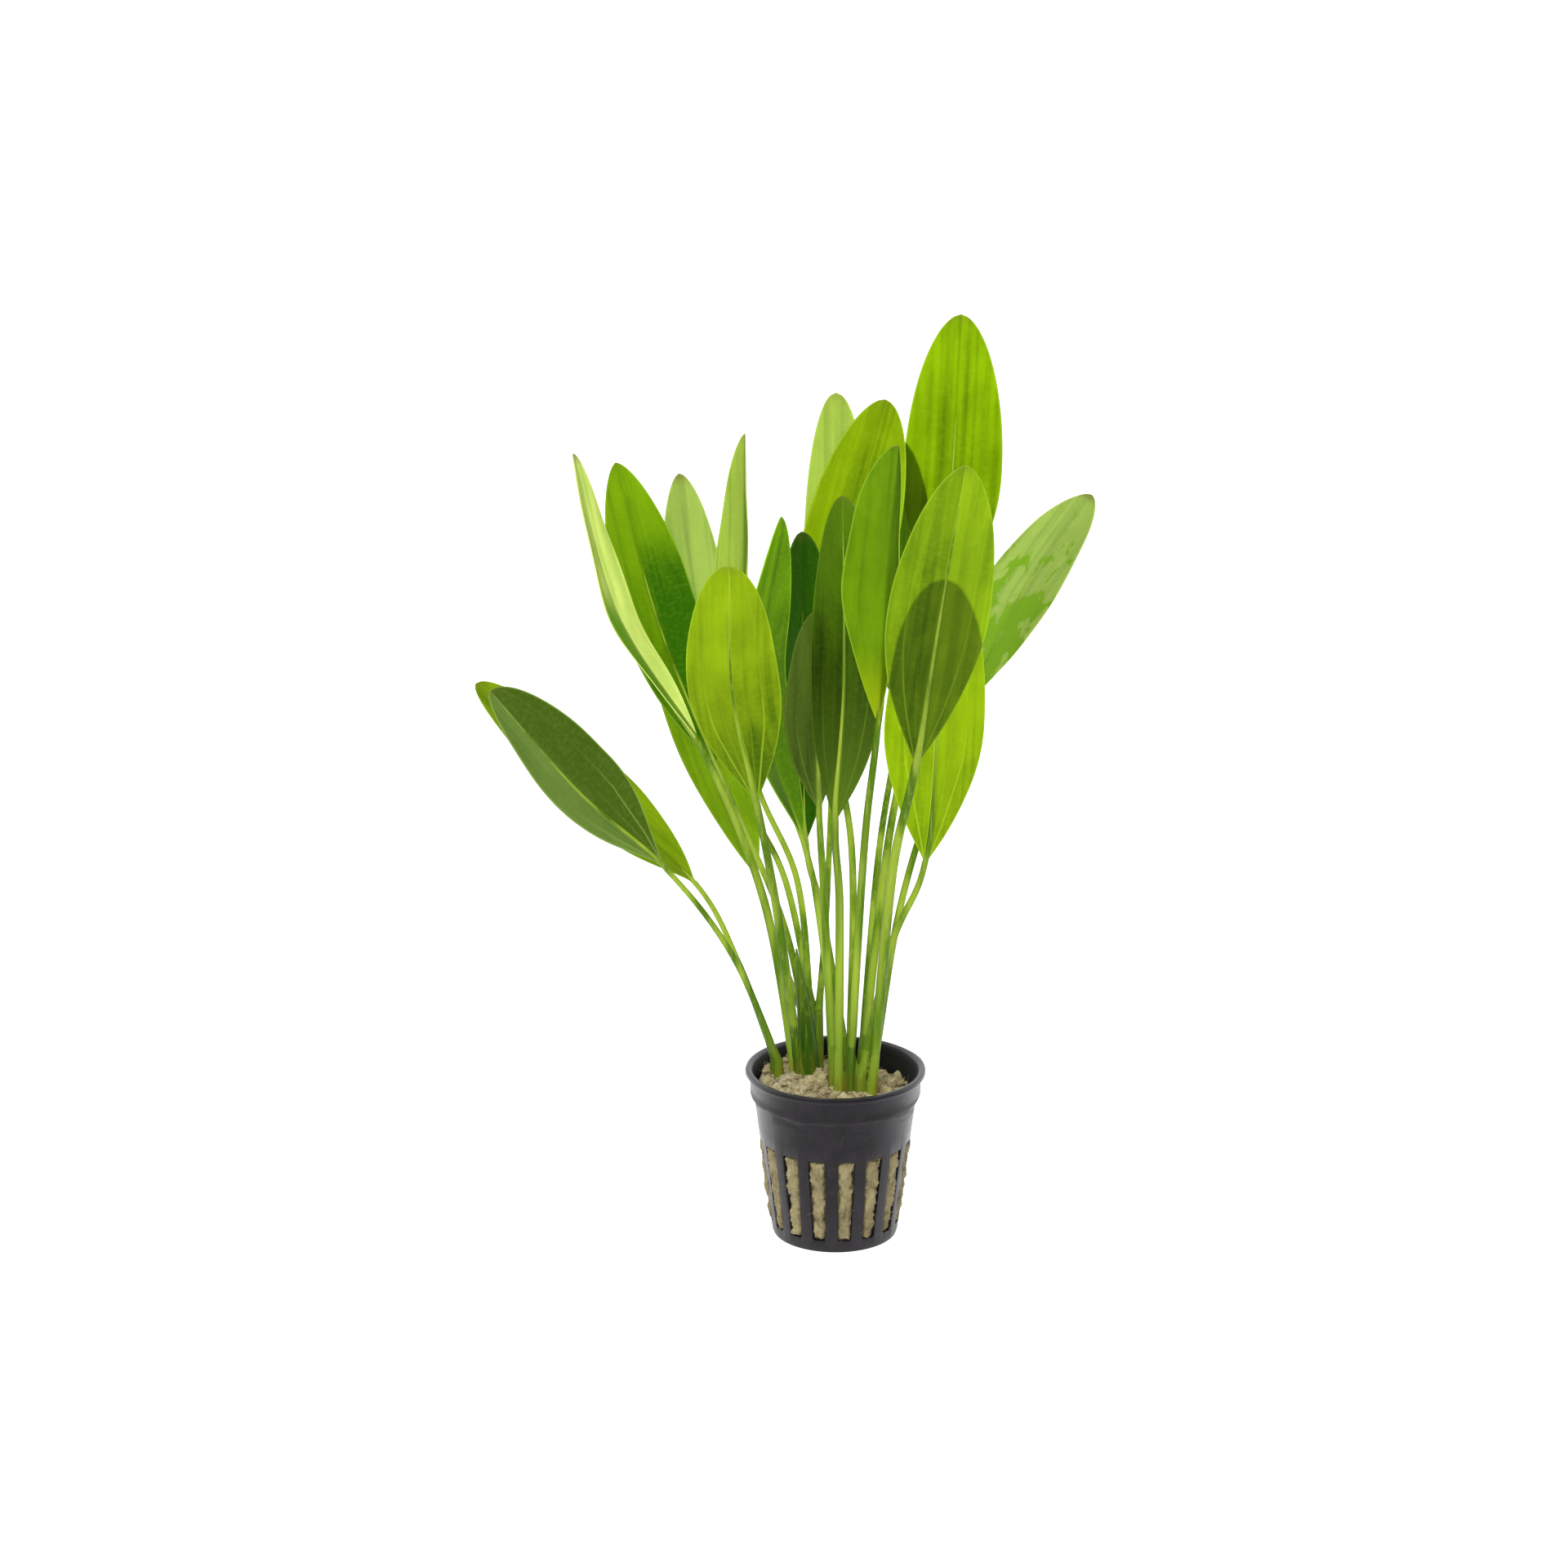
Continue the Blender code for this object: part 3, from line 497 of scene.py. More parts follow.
# Crowns. The leaves of an echinodorus rise from three short crowns in the wool. The feet of their stalks are
# flattened and wrap one another as sheaths, dark green and a little reddish where they leave the wool.
#
# Each leaf, in millimetres: the points that its stalk and midrib pass through (root, knee, neck, belly,
# tip), the direction its upper side faces, the blade's width, how far its halves fold up, the stalk's
# radius at the root, how its tip narrows (0.5 is round, 0.7 is pointed), its tone, how much wider than half
# the blade the second of two uneven halves is, and how its foot narrows, where that isn't the usual.
LEAVES = {
    "far_left_back": dict(
        route=[(-17.9, 0.4, 54.0), (-28.3, 1.0, 83.2), (-40.8, 2.5, 107.2),
               (-68.4, -1.0, 134.9), (-102.7, -6.0, 169.8)],
        facing=(0.35, -0.60, 0.70), width=22.0, fold=0.16, stalk=1.05,
        tip=0.55, tone="fresh"),
    "far_left_front": dict(
        route=[(-16.6, -2.6, 54.0), (-30.0, -5.5, 88.0), (-48.6, -8.5, 115.0),
               (-73.4, -14.0, 140.2), (-97.5, -20.0, 171.7)],
        facing=(0.30, -0.75, 0.55), width=22.5, fold=0.20, stalk=1.05,
        tip=0.55, tone="deep", wider=1.24, foot=1.6),
    "left_folded": dict(
        route=[(-11.9, 1.0, 52.0), (-21.4, 1.5, 104.0), (-39.2, 6.0, 148.0),
               (-63.0, 14.0, 184.6), (-75.9, 24.0, 230.0)],
        facing=(0.90, -0.225, 0.37), width=19.5, fold=0.16, stalk=1.45,
        tip=0.62, tone="pale"),
    "left_low": dict(
        route=[(-10.0, 2.6, 68.3), (-17.6, 9.0, 86.1), (-23.1, 22.0, 102.2),
               (-40.4, 38.5, 146.5), (-57.1, 55.0, 186.9)],
        facing=(0.36, -0.86, 0.36), width=22.0, fold=0.20, stalk=1.15,
        tip=0.62, tone="fresh"),
    "front_left": dict(
        route=[(-10.5, -2.6, 52.0), (-17.0, -12.0, 104.0), (-22.5, -20.0, 138.6),
               (-29.0, -31.0, 174.5), (-29.5, -42.0, 213.5)],
        facing=(0.15, 0.92, 0.30), width=26.3, fold=0.16, stalk=1.45,
        tip=0.52, tone="fresh"),
    "left_tall": dict(
        route=[(-9.4, 5.2, 68.3), (-16.8, 17.0, 94.0), (-34.7, 27.0, 133.7),
               (-52.7, 40.0, 176.2), (-65.3, 52.0, 221.0)],
        facing=(0.45, -0.85, 0.30), width=25.5, fold=0.18, stalk=1.15,
        tip=0.66, tone="fresh"),
    "back_left": dict(
        route=[(-6.8, 5.2, 68.3), (-15.2, 20.0, 103.0), (-28.9, 38.0, 127.0),
               (-41.0, 58.0, 169.0), (-47.5, 74.0, 212.7)],
        facing=(0.30, -0.85, 0.45), width=20.0, fold=0.20, stalk=1.10,
        tip=0.60, tone="pale"),
    "back_narrow": dict(
        route=[(-7.3, 1.9, 68.3), (-11.5, 13.0, 105.0), (-24.6, 28.0, 134.7),
               (-27.6, 43.5, 182.0), (-27.5, 58.0, 228.4)],
        facing=(-0.90, -0.42, 0.13), width=22.0, fold=0.36, stalk=1.10,
        tip=0.67, tone="pale"),
    "middle_left": dict(
        route=[(0.9, -7.9, 53.5), (-4.9, -4.5, 100.3), (-9.5, -1.0, 121.5),
               (-22.6, 4.0, 166.5), (-16.0, 12.0, 214.5)],
        facing=(0.82, -0.52, 0.20), width=22.0, fold=0.22, stalk=1.20,
        tip=0.67, tone="fresh"),
    "middle_dark": dict(
        route=[(3.9, -7.1, 53.5), (-4.2, 5.0, 98.0), (-8.8, 12.0, 116.5),
               (-9.7, 20.0, 159.6), (-10.3, 28.0, 206.2)],
        facing=(0.55, -0.80, 0.22), width=22.0, fold=0.20, stalk=1.20,
        tip=0.52, tone="deep"),
    "middle_low": dict(
        route=[(-0.7, -11.3, 53.5), (-3.5, -9.0, 107.5), (-5.0, -6.0, 131.9),
               (-5.8, -2.5, 158.9), (-6.1, 0.0, 190.0)],
        facing=(-0.45, 0.88, 0.15), width=18.5, fold=0.18, stalk=1.30,
        tip=0.60, tone="deep"),
    "middle_front": dict(
        route=[(0.9, -14.8, 53.5), (1.0, -14.2, 105.9), (-0.3, -13.5, 130.9),
               (2.1, -13.0, 173.8), (1.4, -15.0, 227.0)],
        facing=(0.42, 0.88, 0.20), width=23.0, fold=0.18, stalk=1.40,
        tip=0.56, tone="deep"),
    "middle_right": dict(
        route=[(4.2, -14.2, 53.5), (7.9, -17.0, 124.4), (11.5, -20.5, 162.0),
               (14.0, -23.5, 204.0), (16.7, -28.0, 244.3)],
        facing=(-0.80, -0.56, 0.20), width=26.0, fold=0.46, stalk=1.30,
        tip=0.60, tone="fresh"),
    "back_middle": dict(
        route=[(4.2, -10.6, 53.5), (4.5, 11.0, 115.0), (-3.1, 29.0, 156.8),
               (3.0, 40.0, 199.0), (13.9, 48.0, 240.9)],
        facing=(0.20, -0.92, 0.35), width=28.0, fold=0.16, stalk=1.20,
        tip=0.56, tone="fresh"),
    "back_pale": dict(
        route=[(-4.9, 3.0, 68.3), (-2.8, 22.0, 94.0), (-1.1, 44.0, 140.0),
               (-0.4, 62.0, 188.0), (-0.6, 76.0, 237.0)],
        facing=(0.10, -0.90, 0.42), width=20.0, fold=0.18, stalk=1.10,
        tip=0.50, tone="pale"),
    "back_right": dict(
        route=[(7.4, -6.8, 53.5), (12.2, 12.0, 111.5), (18.3, 36.0, 147.5),
               (20.0, 54.0, 183.0), (19.3, 66.0, 224.3)],
        facing=(-0.50, -0.82, 0.30), width=24.0, fold=0.20, stalk=1.20,
        tip=0.62, tone="deep"),
    "tallest": dict(
        route=[(7.5, -10.4, 53.5), (16.2, 12.0, 124.0), (29.9, 36.0, 176.4),
               (33.5, 47.0, 219.2), (35.7, 53.0, 265.1)],
        facing=(-0.08, -0.95, 0.30), width=29.0, fold=0.12, stalk=1.35,
        tip=0.56, tone="fresh"),
    "front_right": dict(
        route=[(11.0, -14.4, 53.5), (15.8, -22.0, 118.0), (22.0, -30.0, 153.0),
               (27.8, -44.0, 199.0), (34.1, -60.0, 246.0)],
        facing=(-0.12, 0.90, 0.42), width=28.5, fold=0.16, stalk=1.60,
        tip=0.64, tone="fresh"),
    "right_low": dict(
        route=[(7.4, -14.0, 53.5), (16.1, -10.5, 93.5), (25.3, -11.0, 118.0),
               (28.4, -13.0, 160.0), (29.3, -16.0, 203.0)],
        facing=(-0.30, 0.92, 0.20), width=30.0, fold=0.14, stalk=1.25,
        tip=0.50, tone="fresh"),
    "far_right": dict(
        route=[(10.8, -10.2, 53.5), (20.0, 6.0, 105.0), (37.5, 24.0, 154.0),
               (53.7, 38.0, 185.0), (74.6, 50.0, 212.2)],
        facing=(-0.40, -0.72, 0.56), width=23.0, fold=0.18, stalk=1.20,
        tip=0.60, tone="pale"),
}
NECK, BELLY, TIP = 2, 3, 4
# How thick a stalk is at its neck, as a share of its root.
NECK_SHARE = 0.72
# Each crown: its leaves, its foot in the wool, how wide a sheath is at the foot, and how high it reaches.
CROWNS = {
    "crown_far_left": (["far_left_back", "far_left_front"], (-17.2, -1.2, 44.0), 1.75, 66.0),
    "crown_left": (["left_folded", "front_left", "left_low", "left_tall", "back_left", "back_narrow",
                    "back_pale"], (-8.6, 1.8, 43.5), 2.0, 84.0),
    "crown_front": (["middle_left", "middle_dark", "middle_low", "middle_front", "middle_right",
                     "back_middle", "back_right", "tallest", "front_right", "right_low", "far_right"],
                    (5.4, -10.0, 43.5), 1.8, 74.0),
}


def on_route(route, place):
    """The point and direction at a place on the smooth curve: 0 is the first point, 1 the next."""
    points = [Vector(point) for point in route]
    points = [points[0] * 2 - points[1], *points, points[-1] * 2 - points[-2]]
    i = max(0, min(int(place), len(route) - 2))
    s = place - i
    a, b, c, d = points[i : i + 4]
    spot = (2 * b + (c - a) * s + (2 * a - 5 * b + 4 * c - d) * s**2 + (3 * b - a - 3 * c + d) * s**3) / 2
    heading = (c - a) + 2 * (2 * a - 5 * b + 4 * c - d) * s + 3 * (3 * b - a - 3 * c + d) * s**2
    return spot, heading.normalized()


def tube(name, runs):
    """Round shoots as one mesh. Each run is a list of points with their radius, in millimetres."""
    bpy.ops.curve.primitive_bezier_curve_add()
    shoot = bpy.context.object
    shoot.name = name
    shoot.data.splines.clear()
    shoot.data.bevel_depth = MM
    shoot.data.bevel_resolution = 4
    shoot.data.use_fill_caps = True
    for run in runs:
        spline = shoot.data.splines.new("POLY")
        spline.points.add(len(run) - 1)
        for point, (spot, radius) in zip(spline.points, run):
            point.co = (*(spot * MM), 1)
            point.radius = radius
    only(shoot)
    bpy.ops.object.convert(target="MESH")
    return bpy.context.object


SHEATH_STEPS, SHEATH_STEP, SHEATH_BOW, SHEATH_TAPER = 8, 0.04, 0.15, 0.85
# How far each foot stands from the crown's middle towards its own root, and how thick a sheath's end is as
# a share of the stalk that it slips into.
FEET_APART, SHEATH_END = 0.88, 0.6


def sheath_run(leaf, foot, foot_radius, reach):
    """The wide foot of one stalk, from inside the wool to where it slips inside the stalk."""
    route = leaf["route"]
    root, foot = Vector(route[0]), Vector(foot)
    foot = Vector((foot.x + (root.x - foot.x) * FEET_APART, foot.y + (root.y - foot.y) * FEET_APART, foot.z))
    outwards = Vector((root.x - foot.x, root.y - foot.y, 0))
    spots = []
    for i in range(SHEATH_STEPS + 1):
        share = i / SHEATH_STEPS
        bow = math.sin(share * math.pi) * SHEATH_BOW
        spots.append(foot.lerp(root, share) + outwards * bow)
    place = SHEATH_STEP
    while place <= 1 and on_route(route, place)[0].z < reach:
        spots.append(on_route(route, place)[0])
        place += SHEATH_STEP
    low, high = spots[0].z, spots[-1].z
    slim = leaf["stalk"] * SHEATH_END
    return [(spot, slim + (foot_radius - slim) * (1 - (spot.z - low) / (high - low)) ** SHEATH_TAPER)
            for spot in spots]


# Wide old sheaths, which wrap a crown's other feet: how light each is, then its points with their radius.
WRAPS = {
    "crown_left": [
        (0.0, [(-8.0, 0.0, 43.5, 2.6), (-7.7, -0.1, 49.0, 3.0), (-8.0, 0.2, 56.0, 2.8),
               (-9.0, 1.0, 66.0, 2.3), (-10.2, 2.2, 76.0, 1.5), (-11.6, 4.0, 87.0, 0.3)]),
    ],
    "crown_front": [
        (0.9, [(1.0, -13.4, 43.5, 1.8), (1.0, -13.5, 52.0, 1.6), (0.9, -14.4, 64.0, 0.4)]),
        (0.6, [(6.4, -13.0, 43.5, 1.9), (6.2, -13.2, 50.0, 1.7), (5.0, -14.3, 63.0, 0.4)]),
    ],
}
# How light the foot of each stalk is, where it isn't the usual.
USUAL_TONE = 0.25
FOOT_TONES = {
    "left_folded": 0.95, "front_left": 0.1, "middle_low": 0.4, "middle_front": 0.75, "right_low": 0.55,
    "front_right": 0.8, "middle_right": 0.1, "far_left_front": 0.4,
}
WRAP_STEPS = 28


def wrap_run(stops):
    """A smooth run through the stops of a wide sheath."""
    run = []
    for i in range(WRAP_STEPS + 1):
        place = (len(stops) - 1) * i / WRAP_STEPS
        spot, _ = on_route([stop[:3] for stop in stops], place)
        k = min(int(place), len(stops) - 2)
        run.append((spot, stops[k][3] + (stops[k + 1][3] - stops[k][3]) * (place - k)))
    return run


# How close the marks along a shoot are, how many of them each point is compared with, how wide a groove is,
# and the distance of a shoot that isn't near.
MARK_STEP, NEAREST_MARKS, GROOVE_WIDTH, FAR_OFF = 0.5, 80, 0.45, 9.0


def mark_shoots(piece, runs, tones):
    """A map on the piece: how light its nearest shoot is, and how deep in a groove between two it lies."""
    stops = []
    for k, run in enumerate(runs):
        for (a, wide), (b, next_wide) in zip(run, run[1:]):
            steps = max(1, round((b - a).length / MARK_STEP))
            for i in range(steps):
                stops.append((a.lerp(b, i / steps), wide + (next_wide - wide) * i / steps, k))
    tree = kdtree.KDTree(len(stops))
    for i, (spot, _, _) in enumerate(stops):
        tree.insert(spot, i)
    tree.balance()
    facts = []
    for point in piece.data.vertices:
        near = {}
        for _, i, distance in tree.find_n(point.co / MM, NEAREST_MARKS):
            _, radius, k = stops[i]
            near[k] = min(near.get(k, FAR_OFF), distance - radius)
        first, second = (sorted(near.values()) + [FAR_OFF])[:2]
        facts.append((tones[min(near, key=near.get)], max(0.0, 1 - (second - first) / GROOVE_WIDTH)))
    marks = piece.data.uv_layers.new(name="Shoot")
    for loop in piece.data.loops:
        marks.data[loop.index].uv = facts[loop.vertex_index]


STALK_GREEN, STALK_YELLOW = (0.10, 0.21, 0.004), (0.34, 0.46, 0.04)
STALK_STREAK, STALK_LOW = (0.48, 0.59, 0.11), (0.07, 0.17, 0.004)


def stalk_colours(here):
    """The skin of a stalk: bands of deeper and of yellower green, with fine streaks, darker near the wool."""
    height = here.part("Z")
    streaks = here.stretched(1, 1, 0.04).cloud(1100, 3, 0.6)
    bands = here.stretched(1, 1, 0.12).cloud(170, 1, 0.5)
    skin = bands.between(0.34, 0.60).tint(STALK_GREEN, STALK_YELLOW)
    skin = (streaks.between(0.48, 0.66) * 0.3).tint(skin, STALK_STREAK)
    return ((1 - height.between(0.052, 0.092)) * 0.5).tint(skin, STALK_LOW), streaks, height


def let_light_through(material, shader, colour, share):
    """The tissue lets a share of the light through, in this colour."""
    glow = colour.node("BsdfTranslucent", {"Color": colour})
    skin = Wire(colour.tree, shader.outputs["BSDF"])
    feed(material.node_tree.nodes["Material Output"], "Surface",
         colour.node("MixShader", {0: share, 1: skin, 2: glow}))


FOOT_DARK, FOOT_LIGHT, FOOT_STREAK = (0.040, 0.105, 0.003), (0.29, 0.42, 0.03), (0.40, 0.54, 0.05)
FOOT_RED, FOOT_GROOVE_SHADE = (0.26, 0.13, 0.02), (0.015, 0.045, 0.002)
green_foot, shader, wire = new_finish("stalk_foot", 0.4, IOR=1.42, Specular_IOR_Level=0.3)
here = wire.node("TexCoord", out="Object")
shoot = wire.node("UVMap", uv_map="Shoot")
tone, groove_shade = shoot.part("X"), shoot.part("Y")
skin, streaks, height = stalk_colours(here)
fine = here.stretched(1, 1, 0.05).cloud(700, 2, 0.5)
foot = (tone + fine * 0.3 - 0.15).tint(FOOT_DARK, FOOT_LIGHT)
foot = (streaks.between(0.5, 0.7) * 0.25).tint(foot, FOOT_STREAK)
foot = (height.between(0.060, 0.084) * (0.35 + tone * 0.65)).tint(foot, skin)
low = (1 - height.between(0.050, 0.060)) * fine.between(0.44, 0.60)
foot = (low * (0.25 + tone * 0.5)).tint(foot, FOOT_RED)
# Painted shade in the grooves between the shoots.
foot = (groove_shade * (0.25 + tone * 0.6)).tint(foot, FOOT_GROOVE_SHADE)
feed(shader, "Base Color", foot)
feed_relief(shader, streaks * 0.6 + fine * 0.4, 0.4, 0.0004)
let_light_through(green_foot, shader, foot, 0.25)

SHEATH_PITCH = 0.28
lit_through = []
for crown, (names, foot, foot_radius, reach) in CROWNS.items():
    runs = [sheath_run(LEAVES[name], foot, foot_radius, reach) for name in names]
    tones = [FOOT_TONES.get(name, USUAL_TONE) for name in names]
    runs += [wrap_run(stops) for _, stops in WRAPS.get(crown, [])]
    tones += [light for light, _ in WRAPS.get(crown, [])]
    sheaths = tube("sheaths_of_" + crown, runs)
    applied(sheaths, "REMESH", mode="VOXEL", voxel_size=SHEATH_PITCH * MM)
    applied(sheaths, "SMOOTH", factor=0.5, iterations=3)
    bpy.ops.object.shade_smooth()
    mark_shoots(sheaths, runs, tones)
    sheaths.data.materials.append(green_foot)
    settle(sheaths, "crown", crown)
    lit_through.append(sheaths)


# Stalks. Twenty juicy stalks, nearly round and tapering. Each goes on below its blade as the raised midrib,
# paler than the blade, and thins out before the tip.
STALK_STEPS, RIB_STEPS = 56, 60
# A stalk begins a little before its root, and gets its full thickness in its first steps, in its sheath.
STALK_BEFORE_ROOT, STALK_START = 0.05, 7
# Where a midrib ends, how thin it gets, over how much of the blade it slims fast, and where it has sunk to
# the underside of the blade.
RIB_END, RIB_TIP, RIB_SLIMS, RIB_SUNK = 0.95, 0.05, 0.25, 0.1
# Leaves that have turned over, so that their upper side is the lower one on the route.
TURNED_OVER = {"far_left_front"}


def across(heading, facing):
    """The blade's sideways and upward directions at a point of its midrib."""
    side = heading.cross(Vector(facing)).normalized()
    return side, side.cross(heading)


def stalk_run(name, leaf):
    """The points and radii of one stalk, and on from its neck those of its midrib."""
    run = []
    for i in range(STALK_STEPS):
        share = i / STALK_STEPS
        spot, _ = on_route(leaf["route"], NECK * share - STALK_BEFORE_ROOT * (1 - share))
        hidden = 1 - 0.5 * max(0.0, 1 - i / STALK_START)
        run.append((spot, leaf["stalk"] * (1 - (1 - NECK_SHARE) * share) * hidden))
    neck = leaf["stalk"] * NECK_SHARE
    raised = -1 if name in TURNED_OVER else 1
    for i in range(RIB_STEPS + 1):
        u = RIB_END * i / RIB_STEPS
        spot, heading = on_route(leaf["route"], NECK + (TIP - NECK) * u)
        _, up = across(heading, leaf["facing"])
        slim = (1 - u / RIB_END) ** 0.95 * (1 - 0.35 * min(1, u / RIB_SLIMS))
        radius = RIB_TIP + neck * 0.97 * slim
        sunk = min(1, u / RIB_SUNK)
        run.append((spot - up * radius * 0.95 * sunk * raised, radius))
    return run


stalk_skin, shader, wire = new_finish("stalk_skin", 0.38, IOR=1.42, Specular_IOR_Level=0.35)
skin, streaks, _ = stalk_colours(wire.node("TexCoord", out="Object"))
feed(shader, "Base Color", skin)
feed_relief(shader, streaks * 0.6, 0.3, 0.0003)
let_light_through(stalk_skin, shader, skin, 0.45)
for name, leaf in LEAVES.items():
    stalk = tube("petiole_" + name, [stalk_run(name, leaf)])
    bpy.ops.object.shade_smooth()
    stalk.data.materials.append(stalk_skin)
    settle(stalk, "stalk", "stalk_" + name)
    lit_through.append(stalk)


# Blades. Twenty thin elliptical blades that let the light through, so that they darken where one lies close
# behind another: the lamps shade three of them, and elsewhere that shade is painted. Side veins leave the
# midrib near the neck, raised and pale on the underside.
BLADE_COLUMNS, BLADE_ROWS, BLADE_THICKNESS = 24, 72, 0.34
DECIMETRE = 100
# How a blade's foot narrows, and how wide its very tip is.
USUAL_FOOT, BLADE_POINT = 1.2, 0.25
# How the margins wave, how the whole blade sways, and the groove over the midrib, in millimetres.
WAVE, WAVES, WAVE_SHIFT, SWAY, GROOVE_DEPTH, GROOVE_HALF = 0.45, 2.4, 1.3, 0.7, 0.22, 0.8
# The share of the light that a blade lets through, and how strong the lit sweep is behind it.
CLEAR, SWEEP = 0.56, 4.0
# Where the photograph was taken from, and the direction of its view.
CAMERA_PLACE = (0, -1.12, 0.488)
YAW, PITCH = math.radians(0.7737), math.radians(17.3317)
VIEW = Vector((-math.sin(YAW) * math.cos(PITCH), math.cos(YAW) * math.cos(PITCH), -math.sin(PITCH)))


def blade_half(leaf, u):
    """Half the blade's width at a share u of its length, in millimetres."""
    t = min(1.0, max(0.0, u))
    wide = leaf["width"] * (4 * t * (1 - t)) ** (leaf.get("foot", USUAL_FOOT) if t < 0.5 else leaf["tip"])
    narrow = 1.7 * leaf["stalk"] * NECK_SHARE * (1 - u) + BLADE_POINT * u
    return max(wide, narrow) / 2


def grow_blade(name, leaf, number):
    """A flat grid, cut to the leaf's outline and laid along its midrib."""
    bpy.ops.mesh.primitive_grid_add(x_subdivisions=BLADE_COLUMNS, y_subdivisions=BLADE_ROWS, size=1)
    blade = bpy.context.object
    blade.name = "blade_" + name
    mesh = blade.data
    stops = [Vector(stop) for stop in leaf["route"][NECK:]]
    length = sum((b - a).length for a, b in zip(stops, stops[1:]))
    facts = []
    phase = number * 1.7
    for point in mesh.vertices:
        share, v = 2 * point.co.x, point.co.y + 0.5
        u = 0.5 * v + 0.25 * (1 - math.cos(math.pi * v))
        spot, heading = on_route(leaf["route"], NECK + (TIP - NECK) * u)
        side, up = across(heading, leaf["facing"])
        uneven = (leaf.get("wider", 1.0) - 1) * max(-1, min(1, share * 3))
        half = blade_half(leaf, u) * (1 + uneven)
        off = half * share
        lift = leaf["fold"] * half * abs(share) ** 1.3
        swing = math.sin(math.pi * u)
        wave = math.sin(2 * math.pi * WAVES * u + phase + (WAVE_SHIFT if share > 0 else 0))
        lift += WAVE * share**2 * wave * swing
        lift += SWAY * noise.noise(Vector((u * 2.6, share * 0.9, number * 5.3))) * swing
        lift -= GROOVE_DEPTH * math.exp(-((off / GROOVE_HALF) ** 2)) * (1 - u)
        point.co = (spot + side * off + up * lift) * MM
        facts.append((share, u, half / DECIMETRE))
    # One map gives the share of the width and of the length, the other the half width and length in
    # decimetres, so that a vein keeps its real width.
    span = mesh.uv_layers.new(name="Span")
    shares = mesh.uv_layers["UVMap"]
    for loop in mesh.loops:
        share, u, half = facts[loop.vertex_index]
        shares.data[loop.index].uv = (share, u)
        span.data[loop.index].uv = (half, length / DECIMETRE)
    return blade


# The share of a blade's colour that comes through it, the least slant that is allowed for, and the clearest
# that tissue gets.
FROM_BEHIND, LEAST_SLANT, CLEAREST = 0.80, 0.35, 0.95


def through(colour, slant):
    """How clear the tissue is that shows this colour in front of the white light, one channel at a time."""
    wanted = [FROM_BEHIND * value * math.pi / (SWEEP * max(slant, LEAST_SLANT)) for value in colour]
    return tuple(min(CLEAREST, (math.sqrt(1 + 4 * value) - 1) / (2 * CLEAR)) for value in wanted)


def times(colour, shares):
    """The colour, each channel times its share."""
    return tuple(value * share for value, share in zip(colour, shares))


VEIN_LIFT, USUAL_SHADE, BROWN_TIP = (0.09, 0.10, 0.03), (0.24, 0.34, 0.30), (0.16, 0.13, 0.03)


